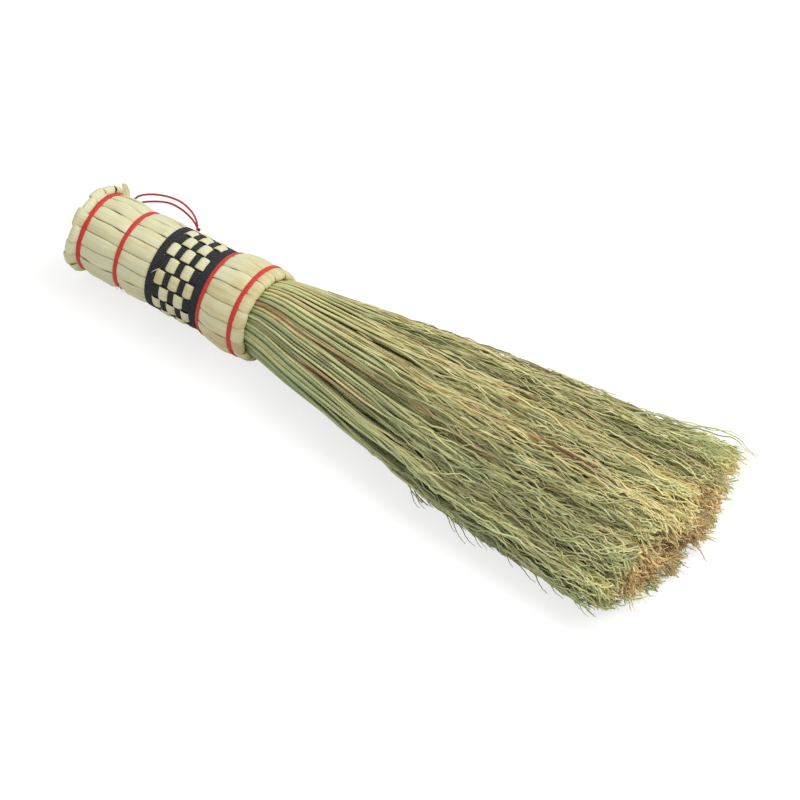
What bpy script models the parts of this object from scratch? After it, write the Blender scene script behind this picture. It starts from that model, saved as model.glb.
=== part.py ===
"""Wok brush: a whisk of sorghum stalks with a handle sheathed in straw strips.

The brush lies on its side, as it is put down. +X runs from the butt to the bristles' tips, +Y is the
far side and +Z is up. The origin is on the table, under the middle of the brush. Places along the
handle are measured from the rear ends of the straw strips, and heights of strips, ties and tape from
the handle's own axis. Angles round the handle start at the top and turn towards the near side.
"""

import math
import random
from dataclasses import dataclass

import bmesh
import bpy
from mathutils import Matrix, Vector

# Fits
FIT_GAP = 0.0003
SEAM_GAP = 0.0004
WOVEN_SEAM_GAP = 0.0011
EDGE_GAP = 0.0001
TAPE_EDGE_GAP = 0.00015

# Lie of the brush on the table
AXIS_HEIGHT = 0.0210

# Slice of the stalk bundle inside the handle
BUTT_INSET = 0.0012
BUTT_RADIUS = 0.0158
WOVEN_RADIUS = 0.0165
NECK_RADIUS = 0.0160
CORE_SHARE = 0.375

# Ties of red cord
TIE_WIDTH = 0.0022
TIE_THICKNESS = 0.0008
BUTT_TIE_PLACE = 0.0052
SECOND_TIE_SPACING = 0.0193
BULGE_LENGTH = 0.0175
KNOT_LENGTH = 0.0032
KNOT_WIDTH = 0.0026
KNOT_HEIGHT = 0.0022
KNOT_STRIP = 16

# Woven black tape
TAPE_WIDTH = 0.0030
TAPE_THICKNESS = 0.0004
TAPE_PITCH = 0.0038
TAPE_ROUNDS = 7
TAPE_SPACING = 0.0179
CLIMB_STRIPS = 3

# Straw strips
STRIP_COUNT = 17
FIRST_STRIP_ANGLE = math.radians(-111.7)
STRIP_THICKNESS = 0.0006
STRIP_CROWN = 0.0007
CELL_CROWN = 0.0005
FLARE_PUFF = 0.0021
BARREL_PUFF = 0.0009
BULGE_PUFF = 0.0013
COLLAR_PUFF = 0.0006
FRONT_TIE_RISE = 0.0008
COLLAR_REACH = 0.0100
FOLD_RADIUS = 0.00105
TAIL_LENGTH = 0.0190
PETAL_LENGTH = 0.0022
PETAL_SPREAD = 0.0015
PETAL_LENGTH_SHARES = (0, 0.4, 1)
PETAL_WIDTH_SHARES = (0.4, 0.85, 1)
PETAL_HEIGHT_SHARES = (1, 0.95, 0.7)
BULGE_PLACE_SHARES = (0.38, 0.66)

# Hidden bindings of twine
NECK_BINDING_WIDTH = 0.0044
NECK_BINDING_THICKNESS = 0.0015
REAR_BINDING_WIDTH = 0.0050
REAR_BINDING_THICKNESS = 0.0006

# Bristles, from the collar to the tips
BRISTLE_REACH = 0.2020
MOUTH_REACH = 0.0115
MOUTH_HALF_WIDTH = 0.0208
MOUTH_HALF_HEIGHT = 0.0180
SPREAD_REACH = 0.1000
SPREAD_HALF_WIDTH = 0.0396
SPREAD_HALF_HEIGHT = 0.0162
SPREAD_CLEARANCE = 0.0004
TIP_HALF_WIDTH = 0.0540
TIP_HALF_HEIGHT = 0.0150
TABLE_SINK = 0.0009
LEAN_SHARE = 0.05
TIP_SPREAD = 0.0060
CORNER_DROP = 0.0070
NEAR_DROP = 0.0095
SECTOR_COUNT = 6
OUTER_ROW_COUNT = 8
INNER_ROW_COUNT = 3
CORE_ROW_COUNT = 2
STRAND_SHARES = (0.93, 0.64, 0.42)
WANDER_SHARE = 0.85
STRAND_SEED = 11

# Hang loop of red thread
LOOP_DIAMETER = 0.0009
LOOP_POINT_SPACING = 0.0026
LOOP_ANGLE = math.radians(-51.7)
LOOP_KNOT_RADIUS = 0.0011
# Route from the knot and back to it: along the handle, outwards, and round towards the table
LOOP_ROUTE = (
    (-0.0007, 0.0011, -0.0007),
    (-0.0018, 0.0025, -0.0008),
    (-0.0055, 0.0051, -0.0008),
    (-0.0116, 0.0069, -0.0004),
    (-0.0179, 0.0069, 0.0008),
    (-0.0253, 0.0056, 0.0030),
    (-0.0325, 0.0032, 0.0060),
    (-0.0371, 0.0008, 0.0092),
    (-0.0400, -0.0022, 0.0133),
    (-0.0413, -0.0054, 0.0182),
    (-0.0416, -0.0080, 0.0234),
    (-0.0411, -0.0096, 0.0286),
    (-0.0391, -0.0101, 0.0319),
    (-0.0366, -0.0100, 0.0317),
    (-0.0352, -0.0094, 0.0283),
    (-0.0356, -0.0080, 0.0232),
    (-0.0364, -0.0058, 0.0178),
    (-0.0364, -0.0034, 0.0128),
    (-0.0342, -0.0008, 0.0089),
    (-0.0268, 0.0023, 0.0051),
    (-0.0194, 0.0044, 0.0027),
    (-0.0131, 0.0045, 0.0017),
    (-0.0073, 0.0034, 0.0012),
    (-0.0028, 0.0016, 0.0010),
    (-0.0012, 0.0006, 0.0007),
)

# Colours: red, green and blue
STALK_COLOUR = (0.42, 0.43, 0.22)
CORE_COLOUR = (0.50, 0.36, 0.18)
STRAW_COLOUR = (0.75, 0.69, 0.44)
TAPE_COLOUR = (0.012, 0.012, 0.015)
CORD_COLOUR = (0.66, 0.03, 0.03)
TWINE_COLOUR = (0.60, 0.52, 0.36)

# Worked out from the sizes above
STRIP_PITCH = math.tau / STRIP_COUNT
SECOND_TIE_PLACE = BUTT_TIE_PLACE + SECOND_TIE_SPACING
FIRST_ROUND_PLACE = SECOND_TIE_PLACE + TAPE_SPACING
LAST_ROUND_PLACE = FIRST_ROUND_PLACE + TAPE_PITCH * (TAPE_ROUNDS - 1)
TAPE_FLAT = TAPE_WIDTH / 2 + EDGE_GAP
TIE_FLAT = TIE_WIDTH / 2 + EDGE_GAP
FRONT_TIE_PLACE = LAST_ROUND_PLACE + TAPE_FLAT + TIE_FLAT
NECK_TIE_PLACE = FRONT_TIE_PLACE + BULGE_LENGTH
COLLAR_PLACE = NECK_TIE_PLACE + COLLAR_REACH
BRUSH_LENGTH = COLLAR_PLACE + BRISTLE_REACH
REAR_BINDING_PLACE = (SECOND_TIE_PLACE + FIRST_ROUND_PLACE) / 2
SLICE_FRONT_PLACE = NECK_TIE_PLACE + NECK_BINDING_WIDTH / 2 + TIE_FLAT

# Inner heights of the sheath, each from the layer that it lies on
BUTT_HEIGHT = BUTT_RADIUS + FIT_GAP
BARREL_HEIGHT = BUTT_HEIGHT + BARREL_PUFF
LOW_HEIGHT = WOVEN_RADIUS + FIT_GAP
HIGH_HEIGHT = LOW_HEIGHT + TAPE_THICKNESS + FIT_GAP
TAIL_HEIGHT = NECK_RADIUS + FIT_GAP
NECK_BINDING_HEIGHT = TAIL_HEIGHT + STRIP_THICKNESS + FIT_GAP
NECK_HEIGHT = NECK_BINDING_HEIGHT + NECK_BINDING_THICKNESS + FIT_GAP
BULGE_HEIGHT = NECK_HEIGHT + BULGE_PUFF
COLLAR_HEIGHT = NECK_HEIGHT + COLLAR_PUFF
TAPE_OVER_HEIGHT = LOW_HEIGHT + STRIP_THICKNESS + FIT_GAP
WOVEN_HALF_WIDTH = LOW_HEIGHT * math.tan(STRIP_PITCH / 2) - WOVEN_SEAM_GAP / 2


def finish(name, colour, roughness):
    """Make a plain material of one colour."""
    material = bpy.data.materials.new(name)
    material.use_nodes = True
    shader = material.node_tree.nodes["Principled BSDF"]
    shader.inputs["Base Color"].default_value = (*colour, 1)
    shader.inputs["Roughness"].default_value = roughness
    shader.inputs["Metallic"].default_value = 0
    return material


def add_object(name, data, material, parent=None, turn=0):
    """Put a mesh or curve in the scene, turned about the handle's axis if it has a turn."""
    data.materials.append(material)
    piece = bpy.data.objects.new(name, data)
    piece.parent = parent
    piece.rotation_euler = (turn, 0, 0)
    bpy.context.scene.collection.objects.link(piece)
    return piece


def finish_mesh(name, solid, smooth_angle=math.radians(35)):
    """Turn a finished solid into mesh data, shaded smooth up to an angle."""
    bmesh.ops.recalc_face_normals(solid, faces=solid.faces)
    data = bpy.data.meshes.new(name)
    solid.to_mesh(data)
    solid.free()
    data.shade_smooth()
    data.set_sharp_from_angle(angle=smooth_angle)
    return data


def loft(sections):
    """Extrude the first section through the others, and close both ends."""
    solid = bmesh.new()
    rim = [solid.verts.new(point) for point in sections[0]]
    end = solid.faces.new(rim)
    for section in sections[1:]:
        end = bmesh.ops.extrude_discrete_faces(solid, faces=[end])["faces"][0]
        for vert, point in zip(end.verts, section):
            vert.co = point
    solid.faces.new(reversed(rim))
    return solid


def round_handle(angle, height, sideways=0.0):
    """Point in the handle's cross-section, from an angle, a height and a way along the tangent."""
    outwards = Vector((0, -math.sin(angle), math.cos(angle)))
    tangent = Vector((0, -math.cos(angle), -math.sin(angle)))
    return outwards * height + tangent * sideways


def strip_angle(index):
    """Angle of a strip's middle round the handle."""
    return FIRST_STRIP_ANGLE + index * STRIP_PITCH


def round_place(turn, index):
    """Place of the tape's middle where it crosses a strip: it climbs a pitch over the last few strips."""
    climbed = max(0, index - (STRIP_COUNT - 1 - CLIMB_STRIPS)) / CLIMB_STRIPS
    return FIRST_ROUND_PLACE + TAPE_PITCH * (turn + climbed)


def tape_lies_over(turn, index):
    """Whether the tape lies over a strip: always in its outer rounds, by turns in the woven ones."""
    outer_round = turn == 0 or round_place(turn, index) >= LAST_ROUND_PLACE
    return outer_round or (turn + index) % 2 == 0


def tape_crossings():
    """Every crossing of the tape with a strip, in order. The last round stops a strip short of the climb."""
    crossings = [(turn, index) for turn in range(TAPE_ROUNDS) for index in range(STRIP_COUNT)]
    return crossings[:len(crossings) - CLIMB_STRIPS - 1]


@dataclass
class StripStation:
    """One section of a strip: its facing is the angle of its outer side from straight outwards."""
    place: float
    height: float
    half_width: float
    crown: float = 0.0
    facing: float = 0.0

    def section(self):
        """Five corners of the section: two inner, two outer and the crown."""
        outwards = Vector((math.sin(self.facing), 0, math.cos(self.facing)))
        middle = Vector((self.place, 0, self.height))
        across = Vector((0, self.half_width, 0))
        half = outwards * STRIP_THICKNESS / 2
        return (
            middle - across - half,
            middle - across + half,
            middle + half + outwards * self.crown,
            middle + across + half,
            middle + across - half,
        )


def sheath_station(place, inner_height, crown=0.0, width_share=1.0):
    """Station where a strip lies along the handle, as wide as its seams allow."""
    half_width = inner_height * math.tan(STRIP_PITCH / 2) - SEAM_GAP / 2
    return StripStation(place, inner_height + STRIP_THICKNESS / 2, half_width * width_share, crown)


def woven_station(place, over_tape):
    """Station in the woven band, where the seams are wide enough for the tape to pass."""
    inner_height = HIGH_HEIGHT if over_tape else LOW_HEIGHT
    crown = CELL_CROWN if over_tape else 0.0
    return StripStation(place, inner_height + STRIP_THICKNESS / 2, WOVEN_HALF_WIDTH, crown)


def petal_stations(index):
    """Flared rear end of a strip, rounded off. The ends are not cut quite alike."""
    start = PETAL_SPREAD * (index * (math.sqrt(5) - 1) / 2 % 1)
    shares = zip(PETAL_LENGTH_SHARES, PETAL_WIDTH_SHARES, PETAL_HEIGHT_SHARES)
    return [
        sheath_station(start + PETAL_LENGTH * along, BUTT_HEIGHT + FLARE_PUFF * up, CELL_CROWN, wide)
        for along, wide, up in shares
    ]


def pinched_stations(place, inner_height):
    """Flat stretch of a strip under a tie."""
    return [sheath_station(place - TIE_FLAT, inner_height), sheath_station(place + TIE_FLAT, inner_height)]


def woven_stations(index):
    """Stretch of a strip in the woven band: it changes level between rounds of the tape."""
    rounds = [turn for turn, crossed in tape_crossings() if crossed == index]
    stations = [woven_station(FIRST_ROUND_PLACE - TAPE_FLAT, False)]
    for turn, following in zip(rounds, rounds[1:]):
        before = not tape_lies_over(turn, index)
        after = not tape_lies_over(following, index)
        if before != after:
            stations.append(woven_station(round_place(turn, index) + TAPE_FLAT, before))
            stations.append(woven_station(round_place(following, index) - TAPE_FLAT, after))
    if not tape_lies_over(rounds[-1], index):
        stations.append(woven_station(round_place(rounds[-1], index) + TAPE_FLAT, True))
    stations.append(woven_station(LAST_ROUND_PLACE + TAPE_FLAT, False))
    return stations


def collar_stations():
    """Front end of a strip: it folds in over the neck binding and its tail runs back under the sheath."""
    top = COLLAR_HEIGHT + STRIP_THICKNESS / 2
    fold_place = COLLAR_PLACE - FOLD_RADIUS - STRIP_THICKNESS / 2 - CELL_CROWN
    fold_height = top - FOLD_RADIUS
    stations = [sheath_station((NECK_TIE_PLACE + fold_place) / 2, COLLAR_HEIGHT, STRIP_CROWN)]
    for facing, crown in ((math.radians(25), CELL_CROWN), (math.radians(90), CELL_CROWN), (math.pi, 0)):
        place = fold_place + FOLD_RADIUS * math.sin(facing)
        height = fold_height + FOLD_RADIUS * math.cos(facing)
        lowest = height - STRIP_THICKNESS / 2
        half_width = lowest * math.tan(STRIP_PITCH / 2) - SEAM_GAP / 2
        stations.append(StripStation(place, height, half_width, crown, facing))
    tail_half_width = TAIL_HEIGHT * math.tan(STRIP_PITCH / 2) - SEAM_GAP / 2
    tail_places = (
        NECK_TIE_PLACE + NECK_BINDING_WIDTH / 2 + FIT_GAP,
        NECK_TIE_PLACE - NECK_BINDING_WIDTH / 2 - FIT_GAP,
        fold_place - TAIL_LENGTH,
    )
    tail_heights = (TAIL_HEIGHT, TAIL_HEIGHT, LOW_HEIGHT)
    for place, height in zip(tail_places, tail_heights):
        stations.append(StripStation(place, height + STRIP_THICKNESS / 2, tail_half_width, 0, math.pi))
    return stations


def strip_stations(index):
    """All sections of a strip, from its flared rear end to the end of its tucked tail."""
    stations = petal_stations(index)
    stations += pinched_stations(BUTT_TIE_PLACE, BUTT_HEIGHT)
    stations.append(sheath_station((BUTT_TIE_PLACE + SECOND_TIE_PLACE) / 2, BARREL_HEIGHT, STRIP_CROWN))
    stations += pinched_stations(SECOND_TIE_PLACE, BUTT_HEIGHT)
    stations.append(sheath_station(REAR_BINDING_PLACE, BARREL_HEIGHT, STRIP_CROWN))
    stations += woven_stations(index)
    stations.append(sheath_station(FRONT_TIE_PLACE + TIE_FLAT, LOW_HEIGHT + FRONT_TIE_RISE))
    for share in BULGE_PLACE_SHARES:
        stations.append(sheath_station(FRONT_TIE_PLACE + BULGE_LENGTH * share, BULGE_HEIGHT, STRIP_CROWN))
    stations += pinched_stations(NECK_TIE_PLACE, NECK_HEIGHT)
    return stations + collar_stations()


def make_strip(index, material, handle):
    """One straw strip, pressed flat where it would reach under the table."""
    solid = loft([station.section() for station in strip_stations(index)])
    turned = Matrix.Rotation(strip_angle(index), 3, "X")
    table = turned.inverted() @ Vector((0, 0, -AXIS_HEIGHT))
    upwards = turned.inverted() @ Vector((0, 0, 1))
    geometry = solid.verts[:] + solid.edges[:] + solid.faces[:]
    cut = bmesh.ops.bisect_plane(solid, geom=geometry, plane_co=table, plane_no=upwards, clear_inner=True)
    rim = [item for item in cut["geom_cut"] if isinstance(item, bmesh.types.BMEdge)]
    if rim:
        bmesh.ops.holes_fill(solid, edges=rim)
    name = f"straw_strip_{index + 1:02d}"
    return add_object(name, finish_mesh(name, solid), material, handle, strip_angle(index))


def band(place, inner_height, thickness, width, rise=0.0):
    """Band round the handle with one flat over each strip, turned from its section at a seam."""
    to_seam = 1 / math.cos(STRIP_PITCH / 2)
    seam_angle = FIRST_STRIP_ANGLE - STRIP_PITCH / 2
    solid = bmesh.new()
    corners = (
        (-width / 2, inner_height - rise / 2),
        (width / 2, inner_height + rise / 2),
        (width / 2, inner_height + rise / 2 + thickness),
        (-width / 2, inner_height - rise / 2 + thickness),
    )
    points = [Vector((place + along, 0, 0)) + round_handle(seam_angle, up * to_seam) for along, up in corners]
    section = solid.faces.new([solid.verts.new(point) for point in points])
    bmesh.ops.spin(
        solid, geom=section.edges[:] + section.verts[:], cent=(0, 0, 0), axis=(1, 0, 0),
        angle=math.tau, steps=STRIP_COUNT, use_merge=True,
    )
    solid.faces.remove(section)
    return solid


def make_tie(number, place, inner_height, material, handle, rise=0.0):
    """Red tie: one round of flat cord, closed by a knot on the hidden side."""
    knot = bmesh.new()
    bmesh.ops.create_icosphere(knot, subdivisions=1, radius=1)
    bmesh.ops.scale(knot, vec=(KNOT_WIDTH / 2, KNOT_LENGTH / 2, KNOT_HEIGHT / 2), verts=knot.verts)
    knot_angle = strip_angle(KNOT_STRIP)
    knot_height = inner_height + (TIE_THICKNESS + KNOT_HEIGHT) / 2
    lump = add_object(f"knot_guide_{number}", finish_mesh("knot", knot), material, handle, knot_angle)
    lump.location = Vector((place, 0, 0)) + round_handle(knot_angle, knot_height)
    lump.hide_render = True
    lump.display_type = "WIRE"
    name = f"red_tie_{number}"
    solid = band(place, inner_height, TIE_THICKNESS, TIE_WIDTH, rise)
    tie = add_object(name, finish_mesh(name, solid), material, handle)
    union = tie.modifiers.new("knot", "BOOLEAN")
    union.operation = "UNION"
    union.solver = "EXACT"
    union.object = lump
    return tie


def tape_section(place, angle, height, sideways=0.0):
    """Four corners of the tape's section, from its inner height."""
    return [
        Vector((place + along, 0, 0)) + round_handle(angle, up, sideways)
        for along, up in (
            (-TAPE_WIDTH / 2, height),
            (TAPE_WIDTH / 2, height),
            (TAPE_WIDTH / 2, height + TAPE_THICKNESS),
            (-TAPE_WIDTH / 2, height + TAPE_THICKNESS),
        )
    ]


def tape_sections():
    """Sections of the tape along its way. It changes level and place in the seams, where its ends go in too."""
    edge = WOVEN_HALF_WIDTH + TAPE_EDGE_GAP
    steps = [(round_place(turn, index), strip_angle(index), tape_lies_over(turn, index))
             for turn, index in tape_crossings()]
    ends = ((steps[0][0], steps[0][1] - STRIP_PITCH, False), (steps[-1][0], steps[-1][1] + STRIP_PITCH, False))
    steps = [ends[0]] + steps + [ends[1]]
    sections = []
    for (place, angle, over), (next_place, next_angle, next_over) in zip(steps, steps[1:]):
        heights = [TAPE_OVER_HEIGHT if lies_over else LOW_HEIGHT for lies_over in (over, next_over)]
        if over == next_over and place == next_place:
            seam_height = heights[0] / math.cos(STRIP_PITCH / 2)
            sections.append(tape_section(place, angle + STRIP_PITCH / 2, seam_height))
        else:
            sections.append(tape_section(place, angle, heights[0], edge))
            sections.append(tape_section(next_place, next_angle, heights[1], -edge))
    return sections


def least_gap(sections):
    """Least distance between corners of the tape that lie about a turn or more apart along it."""
    half_turn = STRIP_COUNT // 2
    least = math.inf
    for first in range(len(sections)):
        for second in range(first + half_turn, len(sections)):
            for corner in sections[first]:
                least = min(least, min((corner - other).length for other in sections[second]))
    return least


def make_tape(material, handle):
    """Black tape, one length in seven rounds, woven over and under the strips."""
    sections = tape_sections()
    print(f"woven_tape: least gap to itself {least_gap(sections) * 1000:.2f} mm")
    return add_object("woven_tape", finish_mesh("woven_tape", loft(sections)), material, handle)


def make_binding(name, place, width, thickness, inner_height, material, handle):
    """Hidden binding of twine, as the band that its rounds make together."""
    solid = band(place, inner_height, thickness, width)
    return add_object(name, finish_mesh(name, solid), material, handle)


@dataclass
class FanSection:
    """Section through all the stalks. Its lean lifts the far side, and its height is over the handle's axis."""
    place: float
    half_width: float
    half_height: float
    lean: float = 0.0
    height: float = 0.0

    def point(self, share, angle, outwards):
        """Point at a share of the radius and an angle, moved outwards with its sector by the gap."""
        across = -(self.half_width - FIT_GAP) * share * math.sin(angle)
        up = (self.half_height - FIT_GAP) * share * math.cos(angle)
        return Vector((self.place, across, up + self.lean * across + self.height)) + outwards

    def settle(self, clearance):
        """Set the height so that the lowest point of the outline has this clearance over the table."""
        outline = [self.point(1, math.tau * step / 360, Vector()) for step in range(360)]
        self.height += clearance - AXIS_HEIGHT - min(point.z for point in outline)


SLICE_SECTIONS = (
    FanSection(BUTT_INSET, BUTT_RADIUS, BUTT_RADIUS),
    FanSection(REAR_BINDING_PLACE + REAR_BINDING_WIDTH / 2 + FIT_GAP, BUTT_RADIUS, BUTT_RADIUS),
    FanSection(FIRST_ROUND_PLACE - TAPE_FLAT - EDGE_GAP, WOVEN_RADIUS, WOVEN_RADIUS),
    FanSection(LAST_ROUND_PLACE + TAPE_FLAT, WOVEN_RADIUS, WOVEN_RADIUS),
    FanSection(SLICE_FRONT_PLACE, NECK_RADIUS, NECK_RADIUS),
)
BRISTLE_SECTIONS = (
    FanSection(COLLAR_PLACE + MOUTH_REACH, MOUTH_HALF_WIDTH, MOUTH_HALF_HEIGHT),
    FanSection(COLLAR_PLACE + SPREAD_REACH, SPREAD_HALF_WIDTH, SPREAD_HALF_HEIGHT, LEAN_SHARE),
    FanSection(BRUSH_LENGTH, TIP_HALF_WIDTH, TIP_HALF_HEIGHT, LEAN_SHARE),
)
BRISTLE_SECTIONS[1].settle(SPREAD_CLEARANCE)
BRISTLE_SECTIONS[2].settle(-TABLE_SINK)


def sector_lattice(first_angle, first_row, last_row, row_share):
    """Corners and three-sided cells of one sector: each row has one more corner than the row inside it."""
    corners = {}
    for row in range(first_row, last_row + 1):
        for step in range(row + 1):
            turned = step / row if row else 0
            corners[row, step] = (row * row_share, first_angle + math.tau / SECTOR_COUNT * turned)
    cells = []
    for row in range(first_row + 1, last_row + 1):
        cells += [((row, step), (row, step + 1), (row - 1, step)) for step in range(row)]
        cells += [((row - 1, step), (row, step + 1), (row - 1, step + 1)) for step in range(row - 1)]
    return corners, cells


def core_lattice():
    """Corners and cells of the core: six sectors that share the corners along their sides."""
    corners = {}
    cells = []
    for sector in range(SECTOR_COUNT):
        first_angle = math.tau / SECTOR_COUNT * sector
        own, own_cells = sector_lattice(first_angle, 0, CORE_ROW_COUNT, CORE_SHARE / CORE_ROW_COUNT)
        shared = {}
        for (row, step), place in own.items():
            shared[row, step] = (row, (sector * row + step) % max(1, SECTOR_COUNT * row))
            corners.setdefault(shared[row, step], place)
        cells += [tuple(shared[corner] for corner in cell) for cell in own_cells]
    return corners, cells


def blend(start, end, share):
    """Point part of the way from one point to another."""
    return start + (end - start) * share


def grow_strands(solid, cells_of, corner_layer, places, outwards, chance):
    """Grow one three-sided strand from each cell. It stays inside its cell's own room, so none cross."""
    mouth, spread, tips = BRISTLE_SECTIONS
    faces = list(cells_of)
    wander = {}
    for face in faces:
        key = frozenset(vert[corner_layer] for vert in face.verts)
        wander[key] = [[chance.random() for _ in range(4)] for _ in BRISTLE_SECTIONS]
    for stage, section in enumerate(BRISTLE_SECTIONS):
        faces = bmesh.ops.extrude_discrete_faces(solid, faces=faces)["faces"]
        for face in faces:
            marks = [vert[corner_layer] for vert in face.verts]
            draws = wander[frozenset(marks)][stage]
            room = [section.point(*places[mark], outwards) for mark in marks]
            if section is tips:
                near = sum(places[mark][0] * math.sin(places[mark][1]) for mark in marks) / len(marks)
                shorter = TIP_SPREAD * draws[3] + CORNER_DROP * near ** 4 + NEAR_DROP * max(0, near)
                share = 1 - shorter / (tips.place - spread.place)
                begun = [spread.point(*places[mark], outwards) for mark in marks]
                room = [blend(start, end, share) for start, end in zip(begun, room)]
            middle = sum(room, Vector()) / len(room)
            weight = sum(draws[:3])
            aim = sum((corner * draw for corner, draw in zip(room, draws)), Vector()) / weight
            thin = STRAND_SHARES[stage]
            centre = middle + (aim - middle) * WANDER_SHARE * (1 - thin)
            for vert, corner in zip(face.verts, room):
                vert.co = centre + (corner - middle) * thin
                vert.co.z = max(vert.co.z, -AXIS_HEIGHT)


def make_bundle(name, corners, cells, outwards, seed, material, handle):
    """Part of the stalk bundle: its slice inside the handle, and the bristles that grow from its front."""
    solid = bmesh.new()
    corner_layer = solid.verts.layers.int.new("corner")
    places = list(corners.values())
    verts = {}
    for mark, (corner, place) in enumerate(corners.items()):
        verts[corner] = solid.verts.new(SLICE_SECTIONS[-1].point(*place, outwards))
        verts[corner][corner_layer] = mark
    front = [solid.faces.new([verts[corner] for corner in cell]) for cell in cells]
    rim = [edge for edge in solid.edges if edge.is_boundary]
    for section in reversed(SLICE_SECTIONS[:-1]):
        grown = bmesh.ops.extrude_edge_only(solid, edges=rim)["geom"]
        for vert in (item for item in grown if isinstance(item, bmesh.types.BMVert)):
            vert.co = section.point(*places[vert[corner_layer]], outwards)
        rim = [edge for edge in solid.edges if edge.is_boundary]
    bmesh.ops.holes_fill(solid, edges=rim)
    grow_strands(solid, front, corner_layer, places, outwards, random.Random(seed))
    return add_object(name, finish_mesh(name, solid), material, handle)


def smooth_curve(points, spacing):
    """Even points on a smooth curve through the points of a route."""
    steps = 16
    ends = [points[0] * 2 - points[1]] + points + [points[-1] * 2 - points[-2]]
    fine = []
    for before, start, end, after in zip(ends, ends[1:], ends[2:], ends[3:]):
        for step in range(steps):
            t = step / steps
            fine.append((start * 2 + (end - before) * t + (before * 2 - start * 5 + end * 4 - after) * t ** 2
                         + (start * 3 - before - end * 3 + after) * t ** 3) / 2)
    fine.append(points[-1])
    along = [0.0]
    for start, end in zip(fine, fine[1:]):
        along.append(along[-1] + (end - start).length)
    count = round(along[-1] / spacing)
    even = []
    index = 0
    for number in range(count + 1):
        wanted = along[-1] * number / count
        while index < len(fine) - 2 and along[index + 1] < wanted:
            index += 1
        share = (wanted - along[index]) / (along[index + 1] - along[index])
        even.append(blend(fine[index], fine[index + 1], min(1, share)))
    return even, along[-1]


def make_hang_loop(thread, handle):
    """Hang loop: its knot sits on the tape, and the loop turns about the knot."""
    between_rounds = FIRST_ROUND_PLACE + TAPE_PITCH / 2
    knot_height = TAPE_OVER_HEIGHT + TAPE_THICKNESS + FIT_GAP + LOOP_KNOT_RADIUS
    centre = Vector((between_rounds, 0, 0)) + round_handle(LOOP_ANGLE, knot_height)
    knot = bmesh.new()
    bmesh.ops.create_icosphere(knot, subdivisions=2, radius=LOOP_KNOT_RADIUS)
    lump = add_object("loop_knot", finish_mesh("loop_knot", knot), thread, handle)
    lump.location = centre
    outwards = round_handle(LOOP_ANGLE, 1)
    downwards = round_handle(LOOP_ANGLE, 0, -1)
    route = [Vector((1, 0, 0)) * along + outwards * out + downwards * down for along, out, down in LOOP_ROUTE]
    points, length = smooth_curve(route, LOOP_POINT_SPACING)
    print(f"hang_loop: {length * 1000:.1f} mm of thread in {len(points)} points")
    curve = bpy.data.curves.new("hang_loop", "CURVE")
    curve.dimensions = "3D"
    curve.bevel_depth = LOOP_DIAMETER / 2
    curve.bevel_resolution = 2
    curve.use_fill_caps = True
    spline = curve.splines.new("POLY")
    spline.points.add(len(points) - 1)
    for target, point in zip(spline.points, points):
        target.co = (*point, 1)
    loop = add_object("hang_loop", curve, thread, handle)
    loop.location = centre
    return loop


def clear_scene():
    """Take away whatever the scene holds."""
    for item in list(bpy.data.objects):
        bpy.data.objects.remove(item)


def make_brush():
    """Put the whole brush together round its handle's axis."""
    stalk = finish("sorghum_stalk", STALK_COLOUR, 0.7)
    core = finish("sorghum_core", CORE_COLOUR, 0.75)
    straw = finish("straw", STRAW_COLOUR, 0.55)
    tape = finish("black_tape", TAPE_COLOUR, 0.7)
    cord = finish("red_cord", CORD_COLOUR, 0.45)
    twine = finish("twine", TWINE_COLOUR, 0.85)
    handle = bpy.data.objects.new("handle_axis", None)
    handle.location = (-BRUSH_LENGTH / 2, 0, AXIS_HEIGHT)
    bpy.context.scene.collection.objects.link(handle)

    make_bundle("stalk_core", *core_lattice(), Vector(), STRAND_SEED, core, handle)
    sector = math.tau / SECTOR_COUNT
    for number in range(SECTOR_COUNT):
        corners, cells = sector_lattice(sector * number, INNER_ROW_COUNT, OUTER_ROW_COUNT, 1 / OUTER_ROW_COUNT)
        outwards = round_handle(sector * (number + 0.5), FIT_GAP)
        seed = STRAND_SEED + number + 1
        make_bundle(f"stalk_bundle_{number + 1}", corners, cells, outwards, seed, stalk, handle)

    make_binding("neck_binding", NECK_TIE_PLACE, NECK_BINDING_WIDTH, NECK_BINDING_THICKNESS,
                 NECK_BINDING_HEIGHT, twine, handle)
    make_binding("rear_binding", REAR_BINDING_PLACE, REAR_BINDING_WIDTH, REAR_BINDING_THICKNESS,
                 BUTT_HEIGHT, twine, handle)
    for index in range(STRIP_COUNT):
        make_strip(index, straw, handle)
    make_tape(tape, handle)
    tie_height = BUTT_HEIGHT + STRIP_THICKNESS + FIT_GAP
    make_tie(1, BUTT_TIE_PLACE, tie_height, cord, handle)
    make_tie(2, SECOND_TIE_PLACE, tie_height, cord, handle)
    front_height = LOW_HEIGHT + FRONT_TIE_RISE / 2 + STRIP_THICKNESS + FIT_GAP
    make_tie(3, FRONT_TIE_PLACE, front_height, cord, handle, FRONT_TIE_RISE)
    make_tie(4, NECK_TIE_PLACE, NECK_HEIGHT + STRIP_THICKNESS + FIT_GAP, cord, handle)
    make_hang_loop(cord, handle)


clear_scene()
make_brush()
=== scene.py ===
"""Looks of the wok brush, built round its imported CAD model.

Places along the brush are measured from the rear ends of the straw strips, and heights in the handle
from its own axis. Angles round the handle start at the top and turn towards the near side.
"""

import math

import bmesh
import bpy
import numpy as np
from mathutils import Matrix, Vector


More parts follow.
